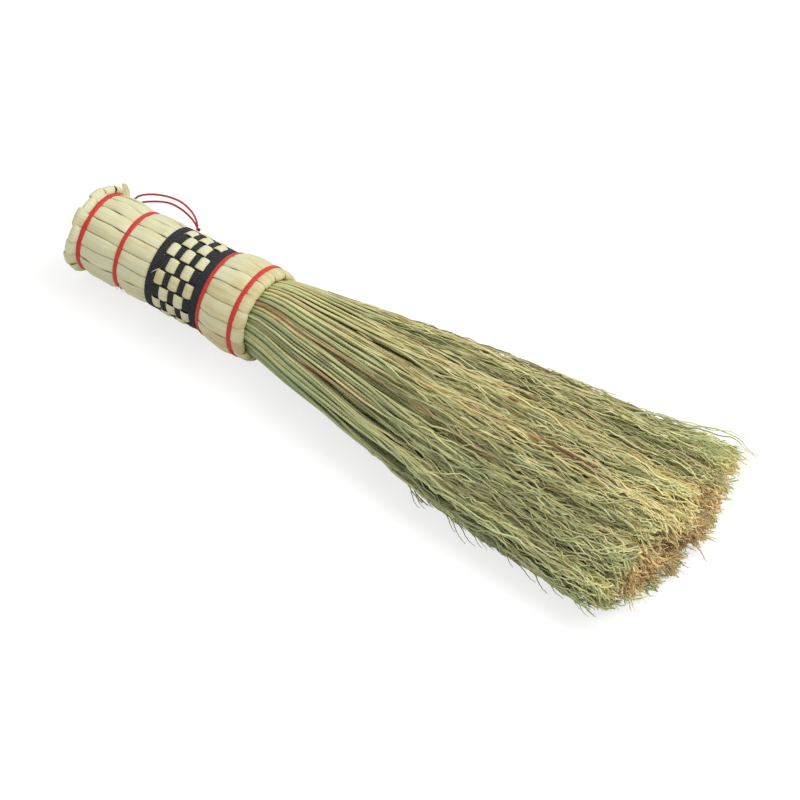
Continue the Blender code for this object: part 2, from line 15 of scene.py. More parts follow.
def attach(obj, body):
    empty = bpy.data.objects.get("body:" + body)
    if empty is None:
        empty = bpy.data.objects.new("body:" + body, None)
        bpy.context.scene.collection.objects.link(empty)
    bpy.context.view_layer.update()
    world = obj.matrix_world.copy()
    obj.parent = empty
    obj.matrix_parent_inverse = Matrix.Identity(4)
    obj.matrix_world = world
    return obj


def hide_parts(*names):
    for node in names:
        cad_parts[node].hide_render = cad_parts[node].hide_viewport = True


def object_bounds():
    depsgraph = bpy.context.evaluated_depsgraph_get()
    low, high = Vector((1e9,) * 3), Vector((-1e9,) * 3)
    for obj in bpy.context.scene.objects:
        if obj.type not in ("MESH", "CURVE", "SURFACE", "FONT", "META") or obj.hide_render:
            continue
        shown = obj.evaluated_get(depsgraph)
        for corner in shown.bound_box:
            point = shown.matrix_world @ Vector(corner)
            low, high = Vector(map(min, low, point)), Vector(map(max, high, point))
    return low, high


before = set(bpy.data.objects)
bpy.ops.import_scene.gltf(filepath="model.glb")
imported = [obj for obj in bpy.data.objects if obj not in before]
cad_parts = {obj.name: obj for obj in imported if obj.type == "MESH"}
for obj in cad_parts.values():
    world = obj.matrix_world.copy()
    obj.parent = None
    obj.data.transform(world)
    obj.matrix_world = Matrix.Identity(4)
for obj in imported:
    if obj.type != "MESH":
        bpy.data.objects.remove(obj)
cad_low, cad_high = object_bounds()


# Stalks: the whisk is one bundle of dry sorghum stalks, gripped by the handle and sawn off at the butt.
# Beyond the handle each stalk splits into long branchlets, and these into twigs as thin as hair. The
# outer ones are green and grey, the ones in the middle are tan, and all of them wave and curl at the tips.

REAR = cad_low.x
AXIS_HEIGHT = 0.0210
BUTT_INSET = 0.0012
COLLAR_PLACE = 0.0955
BRUSH_LENGTH = cad_high.x - cad_low.x
TABLE_GAP = 0.0003

FAN_PLACES = np.array((BUTT_INSET, 0.0400, 0.0890, COLLAR_PLACE,
                       0.1155, 0.1355, 0.1815, 0.2285, 0.2655, 0.2975))
FAN_HALF_WIDTHS = np.array((0.0156, 0.0162, 0.0168, 0.0184,
                            0.0243, 0.0287, 0.0386, 0.0449, 0.0486, 0.0518))
FAN_HALF_HEIGHTS = np.array((0.0156, 0.0162, 0.0168, 0.0184,
                             0.0184, 0.0181, 0.0168, 0.0156, 0.0152, 0.0148))
FAN_HEIGHTS = np.array((0.0210, 0.0210, 0.0210, 0.0210,
                        0.0203, 0.0195, 0.0173, 0.0163, 0.0157, 0.0152))
FAN_SHIFTS = np.array((0, 0, 0, 0.0005, 0.0009, 0.0009, 0.0014, 0.0020, 0.0018, 0.0016))
FAN_LEAN_SHARE = 0.05

STALK_COUNT = 560
STALK_CORNERS = 6
STALK_RADII = (0.00047, 0.00096)
STALK_THINNESS = 1.3
STALK_END_SHARE = 0.55
STALK_STATIONS = 15
HANDLE_STALK_RADIUS = 0.00066
HANDLE_PLACES = (BUTT_INSET, 0.0300, 0.0600, 0.0889)
OUTERMOST_SHARE = 0.965
CORE_SHARE = 0.375
SECTOR_COUNT = 6
GOLDEN_ANGLE = math.pi * (3 - math.sqrt(5))

# A stalk splits sooner above and on the far side, and later below and on the near side.
SPLIT_REACHES = (0.020, 0.146)
SPLIT_SHARE = 0.53
SPLIT_SOONER_ABOVE = 0.20
SPLIT_SOONER_FAR = 0.34
SPLIT_SPREAD = 0.30

# Stalks gather in locks, and the locks in tufts near the tips. Each stalk also wanders a little.
LOCK_COUNT = 54
LOCK_FIRST_ANGLE = 1
LOCK_PULL_SHARE = 0.46
LOCK_LENGTH = 0.09
TUFT_PULL_SHARE = 0.32
TUFT_FROM = 0.232
TUFT_LENGTH = 0.056
WANDER_SHARES = (0.020, 0.022)
WANDER_RATES = ((52, 120), (47, 110))
QUICK_WANDER_SHARE = 0.6

# Tone is from dark to light, and warmth from green over tan to brown and red.
STALK_TONE = 0.59
LOCK_TONE = 0.55
TONE_SPREAD = 0.32
# Painted light: stalks towards the far side of the bundle are made lighter, from this share across and over
# this span.
FAR_PAINTED_LIGHT = 0.32
FAR_PAINTED_LIGHT_FROM = 0.10
FAR_PAINTED_LIGHT_SPAN = 0.70
STEM_LIGHT = 0.07
STALK_WARMTH = 0.27
WARMER_ABOVE = 0.11
WARMER_FAR = 0.11
LOCK_WARMTH = 0.10
WARMTH_SPREAD = 0.13
BROWN_CHANCE = 0.03
BROWN_WARMTHS = (0.68, 0.80)
CUT_WARMTH = 0.46
# Rusty stretches of outer stalks: shares of the half width and half height, place and warmth added
RUSTY_STRETCHES = ((-0.84, 0.543, 0.1315, 0.90), (-0.57, 0.822, 0.1070, 0.38), (-0.76, 0.650, 0.1500, 0.50))
RUSTY_REACH = 0.0120
RUSTY_WIDTH_SHARE = 0.055
STALK_COLOURS = (
    (0.00, (0.36, 0.45, 0.23)),
    (0.20, (0.51, 0.55, 0.27)),
    (0.40, (0.64, 0.62, 0.30)),
    (0.56, (0.66, 0.58, 0.28)),
    (0.70, (0.75, 0.60, 0.33)),
    (0.82, (0.56, 0.37, 0.16)),
    (0.92, (0.42, 0.20, 0.07)),
    (1.00, (0.40, 0.10, 0.04)),
)

BRANCHLETS = 5
BRANCHLET_CORNERS = 3
BRANCHLET_RADII = (0.00048, 0.00040, 0.00034)
BRANCHLET_RADII_AT = (0, 0.45, 1)
BRANCHLET_THICKNESS = (0.75, 1.3)
BRANCHLET_BEGINS = (0.45, 1.0)
BRANCHLET_SPREAD_SHARE = 0.095
BRANCHLET_LEAVE = 0.045
OUTER_STATIONS = 54
INNER_STATIONS = 34
OUTER_CROWDING = 1.6
INNER_CROWDING = 2.2
OUTER_SHARE = 0.66
OUTER_TWIGS = (3, 0.10)
INNER_TWIGS = (1, 0.60)

# Waves of a branchlet, as length and height, and how loosely it follows them along the brush
WAVES = ((0.052, 0.00115), (0.023, 0.00064), (0.0115, 0.00030))
WAVE_LENGTH_SHARES = (0.75, 1.35)
WAVE_HEIGHT_SHARES = (0.3, 1.3)
KINK_SHARE = 0.072
LOOSE_LENGTH = 0.04
LOOSE_AT_COLLAR = 0.55
LOOSER_AT_TIPS = 0.75
BRANCHLET_SLACK = 0.22

# How far the tips fall short of the full length: by chance, by lock, at the corners and on the near side
TIP_SPREAD = 0.0060
TIP_THINNING = 1.6
FAR_SPREAD = 0.0170
FAR_SPREAD_FROM = 0.62
FAR_SPREAD_SPAN = 0.28
LOCK_TIP_SPREAD = 0.0080
CORNER_DROP = 0.0075
CORNER_POWER = 4
NEAR_DROP = 0.0095
CURL_REACH = 0.0140
CURL_LENGTHS = (0.0055, 0.0105)
CURL_BENDS = (0.0, 0.95)
CURL_POWER = 1.3
WRIGGLES = (0.25, 0.85)
WRIGGLE_ONSET = 2.5

TWIG_STATIONS = 9
TWIG_RADII = (0.00030, 0.00015)
TWIG_THICKNESS = (0.8, 1.25)
TWIG_LENGTHS = (0.007, 0.024)
TWIG_LEAST_ROOM = 0.005
TWIG_LEANS = (0.06, 0.42)
TWIG_WAVE_RATES = (6, 18)
TWIG_WAVE_SHARE = 0.055
TWIG_SLACK = 0.30
TWIG_END_SHARE = 0.97

# Tints of branchlets and twigs, and of the tan tips: outer stalks keep more green to the end
# Painted shade: branchlets deep in the bundle are made darker below the tips.
DEPTH_PAINTED_SHADE = 0.44
DEPTH_WARMTH = 0.22
DEPTH_FROM = 0.35
DEPTH_SPAN = 0.5
BRANCHLET_TONE_SPREAD = 0.30
BRANCHLET_WARMTHS = (-0.07, 0.09)
BRANCHLET_WARMER = 0.04
WARMEST_BRANCHLET = 0.52
TWIG_TONES = (-0.1, 0.3)
TWIG_WARMER = 0.03
TIP_WARMTH = 0.72
TIP_WARMTH_SPREAD = 0.10
GREEN_TIPS_FROM = 0.90
GREEN_TIPS_SPAN = 0.30
TIPS_FROM = 0.80
TIPS_FULL = 0.92

NO_LENGTH = 1e-9
SHARP_ANGLE = math.radians(60)
GRAIN_APART = 10

chance = np.random.default_rng(23)


def smooth_read(places, values, at):
    """Value at a place, on a smooth curve through the values at the known places."""
    slopes = np.gradient(values, places)
    start = np.clip(np.searchsorted(places, at) - 1, 0, len(places) - 2)
    span = places[start + 1] - places[start]
    t = np.clip((at - places[start]) / span, 0, 1)
    rise = values[start + 1] - values[start]
    curved = slopes[start] * span * t * (1 - t) ** 2 - slopes[start + 1] * span * t ** 2 * (1 - t)
    return values[start] + rise * t ** 2 * (3 - 2 * t) + curved


def ease(share):
    """Smooth step from 0 to 1."""
    share = np.clip(share, 0, 1)
    return share ** 2 * (3 - 2 * share)


def reach_at(place):
    """How far out along the bristles a place is: 0 at the collar, 1 at the full length."""
    return (place - COLLAR_PLACE) / (BRUSH_LENGTH - COLLAR_PLACE)


def across_at(turn):
    """Direction across the brush at a turn."""
    return np.stack((np.zeros_like(turn), np.cos(turn), np.sin(turn)), axis=-1)


def fan_section(place):
    """Half width, half height, height, shift and lean of the bundle's section at a place."""
    profiles = (FAN_HALF_WIDTHS, FAN_HALF_HEIGHTS, FAN_HEIGHTS, FAN_SHIFTS)
    lean = FAN_LEAN_SHARE * ease((place - COLLAR_PLACE) / COLLAR_PLACE)
    return *(smooth_read(FAN_PLACES, profile, place) for profile in profiles), lean


def in_fan(place, across, up):
    """Point in the bundle, from a place along it and shares of its half width and half height."""
    half_width, half_height, height, shift, lean = fan_section(place)
    sideways = across * half_width
    return np.stack((REAR + place, shift + sideways, height + up * half_height + lean * sideways), axis=-1)


def hold_in(paths, slack):
    """Draw points outside the bundle back to its skin, but for a share of their distance from it."""
    half_width, half_height, height, shift, lean = fan_section(paths[..., 0] - REAR)
    sideways = paths[..., 1] - shift
    middle = height + lean * sideways
    radius = np.hypot(sideways / half_width, (paths[..., 2] - middle) / half_height)
    share = np.where(radius > 1, (1 + (radius - 1) * slack) / np.maximum(radius, 1), 1)
    held = paths.copy()
    held[..., 1] += sideways * (share - 1)
    held[..., 2] += (paths[..., 2] - middle) * (share - 1)
    return held


def unit(vectors):
    """Vectors of length 1."""
    return vectors / np.maximum(np.linalg.norm(vectors, axis=-1, keepdims=True), NO_LENGTH)


def rings(paths, radii, corners, first_side):
    """Round sections along paths[strand, stage], in the order that grow takes them."""
    tangents = unit(np.gradient(paths, axis=1))
    stages = paths.shape[1]
    sections = np.empty((stages, len(paths), corners, 3))
    side = first_side
    for stage in range(stages):
        ahead = tangents[:, stage]
        side = unit(side - ahead * (side * ahead).sum(-1, keepdims=True))
        other = np.cross(ahead, side)
        for corner in range(corners):
            turn = math.tau * corner / corners
            edge = side * math.cos(turn) + other * math.sin(turn)
            sections[stage, :, corner] = paths[:, stage] + edge * radii[:, stage, None]
    return sections


def grow(solid, mark, sections, begun):
    """Extrude every strand's first section through its others, and mark each corner with its number."""
    stages, strands, corners, _ = sections.shape
    rims = [[solid.verts.new() for _ in range(corners)] for _ in range(strands)]
    for strand, rim in enumerate(rims):
        for corner, vert in enumerate(rim):
            vert[mark] = begun + strand * corners + corner
    faces = [solid.faces.new(rim) for rim in rims]
    for _ in range(stages - 1):
        faces = bmesh.ops.extrude_discrete_faces(solid, faces=faces)["faces"]
        for face in faces:
            for vert in face.verts:
                vert[mark] += strands * corners
    for rim in rims:
        solid.faces.new(reversed(rim))


def dress(name, groups, material, sharp_angle=SHARP_ANGLE):
    """Object from groups of sections, each with the tint and the grain of its corners."""
    solid = bmesh.new()
    mark = solid.verts.layers.int.new("mark")
    begun = 0
    for sections, _, _ in groups:
        grow(solid, mark, sections, begun)
        begun += sections[..., 0].size
    mesh = bpy.data.meshes.new(name)
    solid.to_mesh(mesh)
    solid.free()
    order = np.empty(begun, dtype=np.int32)
    mesh.attributes["mark"].data.foreach_get("value", order)
    mesh.attributes.remove(mesh.attributes["mark"])
    points, tints, grains = (
        np.concatenate([group[part].reshape(-1, group[part].shape[-1]) for group in groups])[order]
        for part in range(3))
    mesh.vertices.foreach_set("co", points.reshape(-1))
    tint = mesh.attributes.new("tint", "FLOAT_COLOR", "POINT")
    tint.data.foreach_set("color", tints.reshape(-1))
    grain = mesh.attributes.new("grain", "FLOAT_VECTOR", "POINT")
    grain.data.foreach_set("vector", grains.reshape(-1))
    mesh.materials.append(material)
    mesh.update()
    mesh.shade_smooth()
    mesh.set_sharp_from_angle(angle=sharp_angle)
    piece = bpy.data.objects.new(name, mesh)
    bpy.context.scene.collection.objects.link(piece)
    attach(piece, "brush")
    return piece


def spread_tint(tone, warmth, reach, sections):
    """Tint of every corner: each strand's tone and warmth, and how far along the brush it is."""
    tint = np.ones((*sections.shape[:3], 4))
    tint[..., 0] = tone.reshape(len(tone), -1).T[:, :, None]
    tint[..., 1] = warmth.reshape(len(warmth), -1).T[:, :, None]
    tint[..., 2] = reach.T[:, :, None]
    return tint


def spread_grain(sections, lengths, offsets):
    """Grain of every corner: the way round the strand, the way along it, and the strand's own place."""
    stages, strands, corners, _ = sections.shape
    grain = np.empty((stages, strands, corners, 3))
    grain[..., 0] = np.abs(np.linspace(-1, 1, corners, endpoint=False))[None, None, :]
    grain[..., 1] = lengths.T[:, :, None]
    grain[..., 2] = offsets[None, :, None]
    return grain


def strand_group(paths, radii, corners, tone, warmth):
    """Group for dress from the paths of many strands."""
    sections = rings(paths, radii, corners, across_at(chance.uniform(0, math.tau, len(paths))))
    steps = np.linalg.norm(np.diff(paths, axis=1), axis=-1)
    lengths = np.concatenate((np.zeros((len(paths), 1)), np.cumsum(steps, axis=1)), axis=1)
    offsets = chance.uniform(0, GRAIN_APART, len(paths))
    tint = spread_tint(tone, warmth, reach_at(paths[..., 0] - REAR), sections)
    return sections, tint, spread_grain(sections, lengths, offsets)


def add_node(tree, kind, inputs=None, **settings):
    """Shader node with its settings, its numbers and the sockets that feed it."""
    node = tree.nodes.new(kind)
    for name, value in settings.items():
        setattr(node, name, value)
    for socket, value in (inputs or {}).items():
        if isinstance(value, bpy.types.NodeSocket):
            tree.links.new(value, node.inputs[socket])
        else:
            node.inputs[socket].default_value = value
    return node


def add_noise(tree, vector, scale, detail=3.0, roughness=0.5):
    """Noise from 0 to 1."""
    inputs = {"Vector": vector, "Scale": scale, "Detail": detail, "Roughness": roughness}
    return add_node(tree, "ShaderNodeTexNoise", inputs).outputs["Fac"]


def add_stretch(tree, vector, scale):
    """Coordinates stretched along their axes."""
    inputs = {"Vector": vector, "Scale": scale}
    return add_node(tree, "ShaderNodeMapping", inputs).outputs["Vector"]


def add_range(tree, value, low, high, to_low=0.0, to_high=1.0):
    """Value taken from one range to another."""
    inputs = {"Value": value, "From Min": low, "From Max": high, "To Min": to_low, "To Max": to_high}
    return add_node(tree, "ShaderNodeMapRange", inputs).outputs["Result"]


def add_ramp(tree, value, stops):
    """Colour from a value, through (place, colour) stops."""
    ramp = add_node(tree, "ShaderNodeValToRGB", {"Fac": value})
    elements = ramp.color_ramp.elements
    for element, (place, colour) in zip(elements, (stops[0], stops[-1])):
        element.position = place
        element.color = (*colour, 1)
    for place, colour in stops[1:-1]:
        elements.new(place).color = (*colour, 1)
    return ramp.outputs["Color"]


def add_mix(tree, factor, first, second, blend="MIX"):
    """Mix of two colours."""
    mix = add_node(tree, "ShaderNodeMix", data_type="RGBA", blend_type=blend)
    for socket, value in ((0, factor), (6, first), (7, second)):
        if isinstance(value, bpy.types.NodeSocket):
            tree.links.new(value, mix.inputs[socket])
        else:
            mix.inputs[socket].default_value = value
    return mix.outputs[2]


def add_math(tree, operation, first, second):
    """Sum, product or the like of two values."""
    return add_node(tree, "ShaderNodeMath", {0: first, 1: second}, operation=operation).outputs[0]


def add_bump(tree, height, distance):
    """Normal from a height."""
    inputs = {"Height": height, "Distance": distance}
    return add_node(tree, "ShaderNodeBump", inputs).outputs["Normal"]


def start_material(name, roughness, specular=0.5):
    """Material with its node tree and shader."""
    material = bpy.data.materials.new(name)
    material.use_nodes = True
    shader = material.node_tree.nodes["Principled BSDF"]
    shader.inputs["Roughness"].default_value = roughness
    shader.inputs["Specular IOR Level"].default_value = specular
    return material, material.node_tree, shader


def read_tint(tree):
    """Tone, warmth and third part of the tint of a piece."""
    tint = add_node(tree, "ShaderNodeAttribute", attribute_name="tint").outputs["Color"]
    return add_node(tree, "ShaderNodeSeparateColor", {"Color": tint}).outputs.values()


def read_grain(tree):
    """Way across and along a piece."""
    return add_node(tree, "ShaderNodeAttribute", attribute_name="grain").outputs["Vector"]


def shaded(tree, colour, shade):
    """Colour made darker or lighter by a value."""
    grey = add_node(tree, "ShaderNodeCombineColor", {"Red": shade, "Green": shade, "Blue": shade})
    return add_mix(tree, 1.0, colour, grey.outputs["Color"], "MULTIPLY")


def finish_material(tree, shader, colour, height, distance):
    """Join the colour and the relief to the shader."""
    tree.links.new(colour, shader.inputs["Base Color"])
    tree.links.new(add_bump(tree, height, distance), shader.inputs["Normal"])


def make_stalk_material():
    """Dry stalk: green to tan by its warmth, with streaks along it and dull husks."""
    material, tree, shader = start_material("dry_sorghum", 0.62, 0.35)
    tone, warmth, reach = read_tint(tree)
    grain = read_grain(tree)
    patches = add_noise(tree, add_stretch(tree, grain, (0.4, 45, 1)), 1.0, 2.0)
    warmth = add_math(tree, "ADD", warmth, add_range(tree, patches, 0.3, 0.7, -0.10, 0.10))
    colour = add_ramp(tree, warmth, STALK_COLOURS)
    shade = add_range(tree, tone, 0, 1, 0.43, 1.17)
    streaks = add_noise(tree, add_stretch(tree, grain, (3.2, 160, 1)), 1.0, 3.0)
    shade = add_math(tree, "MULTIPLY", shade, add_range(tree, streaks, 0.3, 0.7, 0.76, 1.12))
    shade = add_math(tree, "MULTIPLY", shade, add_range(tree, reach, 0.78, 1.0, 0.97, 1.34))
    finish_material(tree, shader, shaded(tree, colour, shade), streaks, 0.0001)
    tree.links.new(add_range(tree, streaks, 0.3, 0.7, 0.52, 0.72), shader.inputs["Roughness"])
    return material


def spread_out(count, outermost, first_angle):
    """Even spread over the bundle's section: share of its radius, angle, and shares across and up."""
    share = np.sqrt((np.arange(count) + 0.5) / count) * outermost
    angle = (np.arange(count) * GOLDEN_ANGLE + first_angle) % math.tau
    return share, angle, -share * np.sin(angle), share * np.cos(angle)


stalk_share, stalk_angle, stalk_across, stalk_up = spread_out(STALK_COUNT, OUTERMOST_SHARE, 0)
_, _, lock_across, lock_up = spread_out(LOCK_COUNT, 1, LOCK_FIRST_ANGLE)
stalk_sector = (stalk_angle // (math.tau / SECTOR_COUNT)).astype(int)
stalk_node = np.where(stalk_share < CORE_SHARE, 0, 1 + stalk_sector)
lock_of = np.hypot(stalk_across[:, None] - lock_across, stalk_up[:, None] - lock_up).argmin(1)
lock_tone = chance.uniform(-0.5, 0.5, LOCK_COUNT)
stalk_wander = chance.uniform(0, math.tau, (STALK_COUNT, 4))
outwardness = ease((stalk_share - DEPTH_FROM) / DEPTH_SPAN)
split_share = SPLIT_SHARE - SPLIT_SOONER_ABOVE * stalk_up - SPLIT_SOONER_FAR * stalk_across
split_share = np.clip(split_share + chance.uniform(-SPLIT_SPREAD, SPLIT_SPREAD, STALK_COUNT), 0, 1)
stalk_split = SPLIT_REACHES[0] + (SPLIT_REACHES[1] - SPLIT_REACHES[0]) * split_share
stalk_tone = STALK_TONE + LOCK_TONE * lock_tone[lock_of]
stalk_tone = stalk_tone + chance.uniform(-TONE_SPREAD, TONE_SPREAD, STALK_COUNT)
# Painted light: the far side of the bundle is made lighter.
stalk_tone = np.clip(stalk_tone + FAR_PAINTED_LIGHT * ease((stalk_across - FAR_PAINTED_LIGHT_FROM) / FAR_PAINTED_LIGHT_SPAN), 0, 1)
stalk_warmth = STALK_WARMTH + WARMER_ABOVE * stalk_up + LOCK_WARMTH * lock_tone[lock_of]
stalk_warmth = stalk_warmth + chance.uniform(-WARMTH_SPREAD, WARMTH_SPREAD, STALK_COUNT)
stalk_warmth = stalk_warmth + WARMER_FAR * stalk_across
brown = chance.random(STALK_COUNT) < BROWN_CHANCE
stalk_warmth = np.where(brown, chance.uniform(*BROWN_WARMTHS, STALK_COUNT), stalk_warmth)
lock_short = chance.uniform(0, LOCK_TIP_SPREAD, LOCK_COUNT)


def in_bundle(stalk, place):
    """Shares of the half width and half height where a stalk is: its lock draws it in, and it wanders."""
    grown = ease((place - COLLAR_PLACE) / LOCK_LENGTH)
    drawn = grown * LOCK_PULL_SHARE + TUFT_PULL_SHARE * ease((place - TUFT_FROM) / TUFT_LENGTH)
    across = stalk_across[stalk][:, None] * (1 - drawn) + lock_across[lock_of[stalk]][:, None] * drawn
    up = stalk_up[stalk][:, None] * (1 - drawn) + lock_up[lock_of[stalk]][:, None] * drawn
    phases = stalk_wander[stalk][:, :, None]
    wanders = []
    for axis, (share, (slow, quick)) in enumerate(zip(WANDER_SHARES, WANDER_RATES)):
        wave = np.sin(place * slow + phases[:, 2 * axis])
        wave = wave + QUICK_WANDER_SHARE * np.sin(place * quick + phases[:, 2 * axis + 1])
        wanders.append(grown * share * wave)
    return across + wanders[0], up + wanders[1]


def rust(place, across, up):
    """Warmth added where outer strands pass through a rusty stretch."""
    radius = np.maximum(np.hypot(across, up), OUTER_SHARE)
    added = np.zeros_like(place)
    for middle_across, middle_up, middle, most in RUSTY_STRETCHES:
        aside = np.hypot(across / radius - middle_across, up / radius - middle_up) / RUSTY_WIDTH_SHARE
        added += most * np.exp(-aside ** 2 - ((place - middle) / RUSTY_REACH) ** 2)
    return added


def clear_table(paths, radii):
    """Keep strands on the table."""
    paths[..., 2] = np.maximum(paths[..., 2], TABLE_GAP + radii)
    return paths


def stalk_group(stalks):
    """Stalks from the butt, through the handle, to where they split."""
    share = np.linspace(0, 1, STALK_STATIONS)
    beyond = COLLAR_PLACE + share * stalk_split[stalks][:, None]
    inside = np.broadcast_to(HANDLE_PLACES, (len(stalks), len(HANDLE_PLACES)))
    place = np.concatenate((inside, beyond), axis=1)
    across, up = in_bundle(stalks, place)
    paths = in_fan(place, across, up)
    thick = chance.random(len(stalks))[:, None] ** STALK_THINNESS
    thick = STALK_RADII[0] + (STALK_RADII[1] - STALK_RADII[0]) * thick
    taper = ease((place - COLLAR_PLACE) / stalk_split[stalks][:, None])
    radii = thick * (1 - taper * (1 - STALK_END_SHARE))
    radii = np.where(place < COLLAR_PLACE, HANDLE_STALK_RADIUS, radii)
    warmth = stalk_warmth[stalks][:, None] + rust(place, across, up)
    warmth[:, 0] = CUT_WARMTH
    tone = np.clip(stalk_tone[stalks] + STEM_LIGHT, 0, 1)
    return strand_group(clear_table(paths, radii), radii, STALK_CORNERS, tone, warmth)


def branchlet_paths(stalks, stations, crowding):
    """Stalk, path, radii and rust of all the branchlets of some stalks."""
    owner = np.repeat(stalks, BRANCHLETS)
    count = len(owner)
    order = np.tile(np.arange(BRANCHLETS), len(stalks))
    begun_share = np.where(order == 0, 1.0, chance.uniform(*BRANCHLET_BEGINS, count))
    begun = COLLAR_PLACE + stalk_split[owner] * begun_share
    spread_share = BRANCHLET_SPREAD_SHARE * np.sqrt(chance.random(count)) * (order > 0)
    spread_turn = chance.uniform(0, math.tau, count)
    aside = stalk_across[owner]
    end = BRUSH_LENGTH - CORNER_DROP * aside ** CORNER_POWER - NEAR_DROP * np.maximum(0, -aside)
    spread = TIP_SPREAD + FAR_SPREAD * ease((aside - FAR_SPREAD_FROM) / FAR_SPREAD_SPAN)
    end = end - lock_short[lock_of[owner]] - spread * chance.random(count) ** TIP_THINNING
    share = 1 - (1 - np.linspace(0, 1, stations)) ** crowding
    place = begun[:, None] + (end - begun)[:, None] * share
    across, up = in_bundle(owner, place)
    left = ease((place - begun[:, None]) / BRANCHLET_LEAVE)
    across = across + left * (spread_share * np.cos(spread_turn))[:, None]
    up = up + left * (spread_share * np.sin(spread_turn))[:, None]
    inwards = 1 / np.maximum(np.hypot(across, up), 1)
    paths = in_fan(place, across * inwards, up * inwards)
    loose = LOOSE_AT_COLLAR + LOOSER_AT_TIPS * reach_at(place)
    loose = loose * ease((place - begun[:, None]) / LOOSE_LENGTH)
    for length, height in WAVES:
        phase = chance.uniform(0, math.tau, (count, 2))
        rate = math.tau / (length * chance.uniform(*WAVE_LENGTH_SHARES, count))
        size = height * chance.uniform(*WAVE_HEIGHT_SHARES, (count, 2))
        for axis in (0, 1):
            wave = np.sin(place * rate[:, None] + phase[:, axis, None])
            paths[..., 1 + axis] += loose * size[:, axis, None] * wave
    steps = np.diff(place, axis=1, prepend=place[:, :1])
    paths[..., 1:] += chance.normal(0, KINK_SHARE, (count, stations, 2)) * (steps * loose)[..., None]
    paths = hold_in(curl_tips(paths), BRANCHLET_SLACK)
    thick = chance.uniform(*BRANCHLET_THICKNESS, count)[:, None]
    radii = thick * np.interp(share, BRANCHLET_RADII_AT, BRANCHLET_RADII)[None, :]
    return owner, clear_table(paths, radii), radii, rust(place, across, up)


def curl_tips(paths):
    """Bend the last stretch of each path over to one side, and let it wriggle towards the other."""
    count = len(paths)
    steps = np.diff(paths, axis=1)
    lengths = np.linalg.norm(steps, axis=-1, keepdims=True)
    ahead = unit(steps)
    turn = chance.uniform(0, math.tau, count)
    side, other = (across_at(turned)[:, None] for turned in (turn, turn + math.pi / 2))
    left = np.cumsum(lengths[:, ::-1], axis=1)[:, ::-1]
    loose = np.clip(1 - left / CURL_REACH, 0, 1)
    bend = chance.uniform(*CURL_BENDS, (count, 1, 1)) * loose ** CURL_POWER
    rate = math.tau / chance.uniform(*CURL_LENGTHS, (count, 1, 1))
    wriggle = chance.uniform(*WRIGGLES, (count, 1, 1)) * ease(loose * WRIGGLE_ONSET) * np.sin(left * rate)
    turned = ahead * np.cos(bend) + side * np.sin(bend) + other * wriggle
    grown = np.cumsum(unit(turned) * lengths, axis=1)
    return np.concatenate((paths[:, :1], paths[:, :1] + grown), axis=1)


def twig_paths(paths, per_branchlet, from_share):
    """Twigs that leave the branchlets at random places and bend back along them."""
    parent = np.repeat(np.arange(len(paths)), per_branchlet)
    count = len(parent)
    stations = paths.shape[1]
    start = (chance.uniform(from_share, TWIG_END_SHARE, count) * (stations - 2)).astype(int)
    first = paths[parent, start]
    ahead = unit(paths[parent, start + 1] - first)
    side = across_at(chance.uniform(0, math.tau, count))
    t = np.linspace(0, 1, TWIG_STATIONS)[None, :, None]
    room = paths[parent, -1, 0] - first[:, 0]
    length = np.minimum(chance.uniform(*TWIG_LENGTHS, count), np.maximum(room, TWIG_LEAST_ROOM))
    length = length[:, None, None]
    lean = chance.uniform(*TWIG_LEANS, count)[:, None, None]
    grown = first[:, None] + length * (ahead[:, None] * t + side[:, None] * lean * (t - 0.5 * t ** 2))
    phase = chance.uniform(0, math.tau, (count, 1, 2))
    waves = np.sin(t * chance.uniform(*TWIG_WAVE_RATES, (count, 1, 1)) + phase)
    grown[..., 1:] += waves * t * length * TWIG_WAVE_SHARE
    grown = hold_in(grown, TWIG_SLACK)
    thick = chance.uniform(*TWIG_THICKNESS, count)[:, None]
    radii = thick * np.linspace(*TWIG_RADII, TWIG_STATIONS)[None, :]
    return parent, clear_table(grown, radii), radii


def tip_share(paths):
    """How far each point is into the tips, from 0 to 1."""
    return ease((reach_at(paths[..., 0] - REAR) - TIPS_FROM) / (TIPS_FULL - TIPS_FROM))


def branchlet_groups(stalks, stations, crowding, twigs):
    """Groups for dress: the branchlets of some stalks and their twigs."""
    owner, paths, radii, rusty = branchlet_paths(stalks, stations, crowding)
    count = len(owner)
    depth = 1 - outwardness[owner]
    tone = stalk_tone[owner] + chance.uniform(-BRANCHLET_TONE_SPREAD, BRANCHLET_TONE_SPREAD, count)
    warmth = np.minimum(stalk_warmth[owner], WARMEST_BRANCHLET)
    warmth = warmth + chance.uniform(*BRANCHLET_WARMTHS, count) + BRANCHLET_WARMER
    tip_warmth = TIP_WARMTH + chance.uniform(-TIP_WARMTH_SPREAD, TIP_WARMTH_SPREAD, count) - warmth
    tip_warmth = tip_warmth * ease((GREEN_TIPS_FROM - stalk_share[owner]) / GREEN_TIPS_SPAN)
    near_tip = tip_share(paths)
    below_tip = depth[:, None] * (1 - near_tip)
    # Painted shade: deep branchlets are made darker below the tips.
    tones = np.clip(tone[:, None] - DEPTH_PAINTED_SHADE * below_tip, 0, 1)
    warmths = warmth[:, None] + DEPTH_WARMTH * below_tip + tip_warmth[:, None] * near_tip + rusty
    groups = [strand_group(paths, radii, BRANCHLET_CORNERS, tones, warmths)]
    parent, twig_ways, twig_radii = twig_paths(paths, *twigs)
    twig_tone = np.clip(tone[parent] + chance.uniform(*TWIG_TONES, len(parent)), 0, 1)
    twig_warmth = warmth[parent, None] + TWIG_WARMER + tip_warmth[parent, None] * tip_share(twig_ways)
    groups.append(strand_group(twig_ways, twig_radii, BRANCHLET_CORNERS, twig_tone, twig_warmth))
    return groups


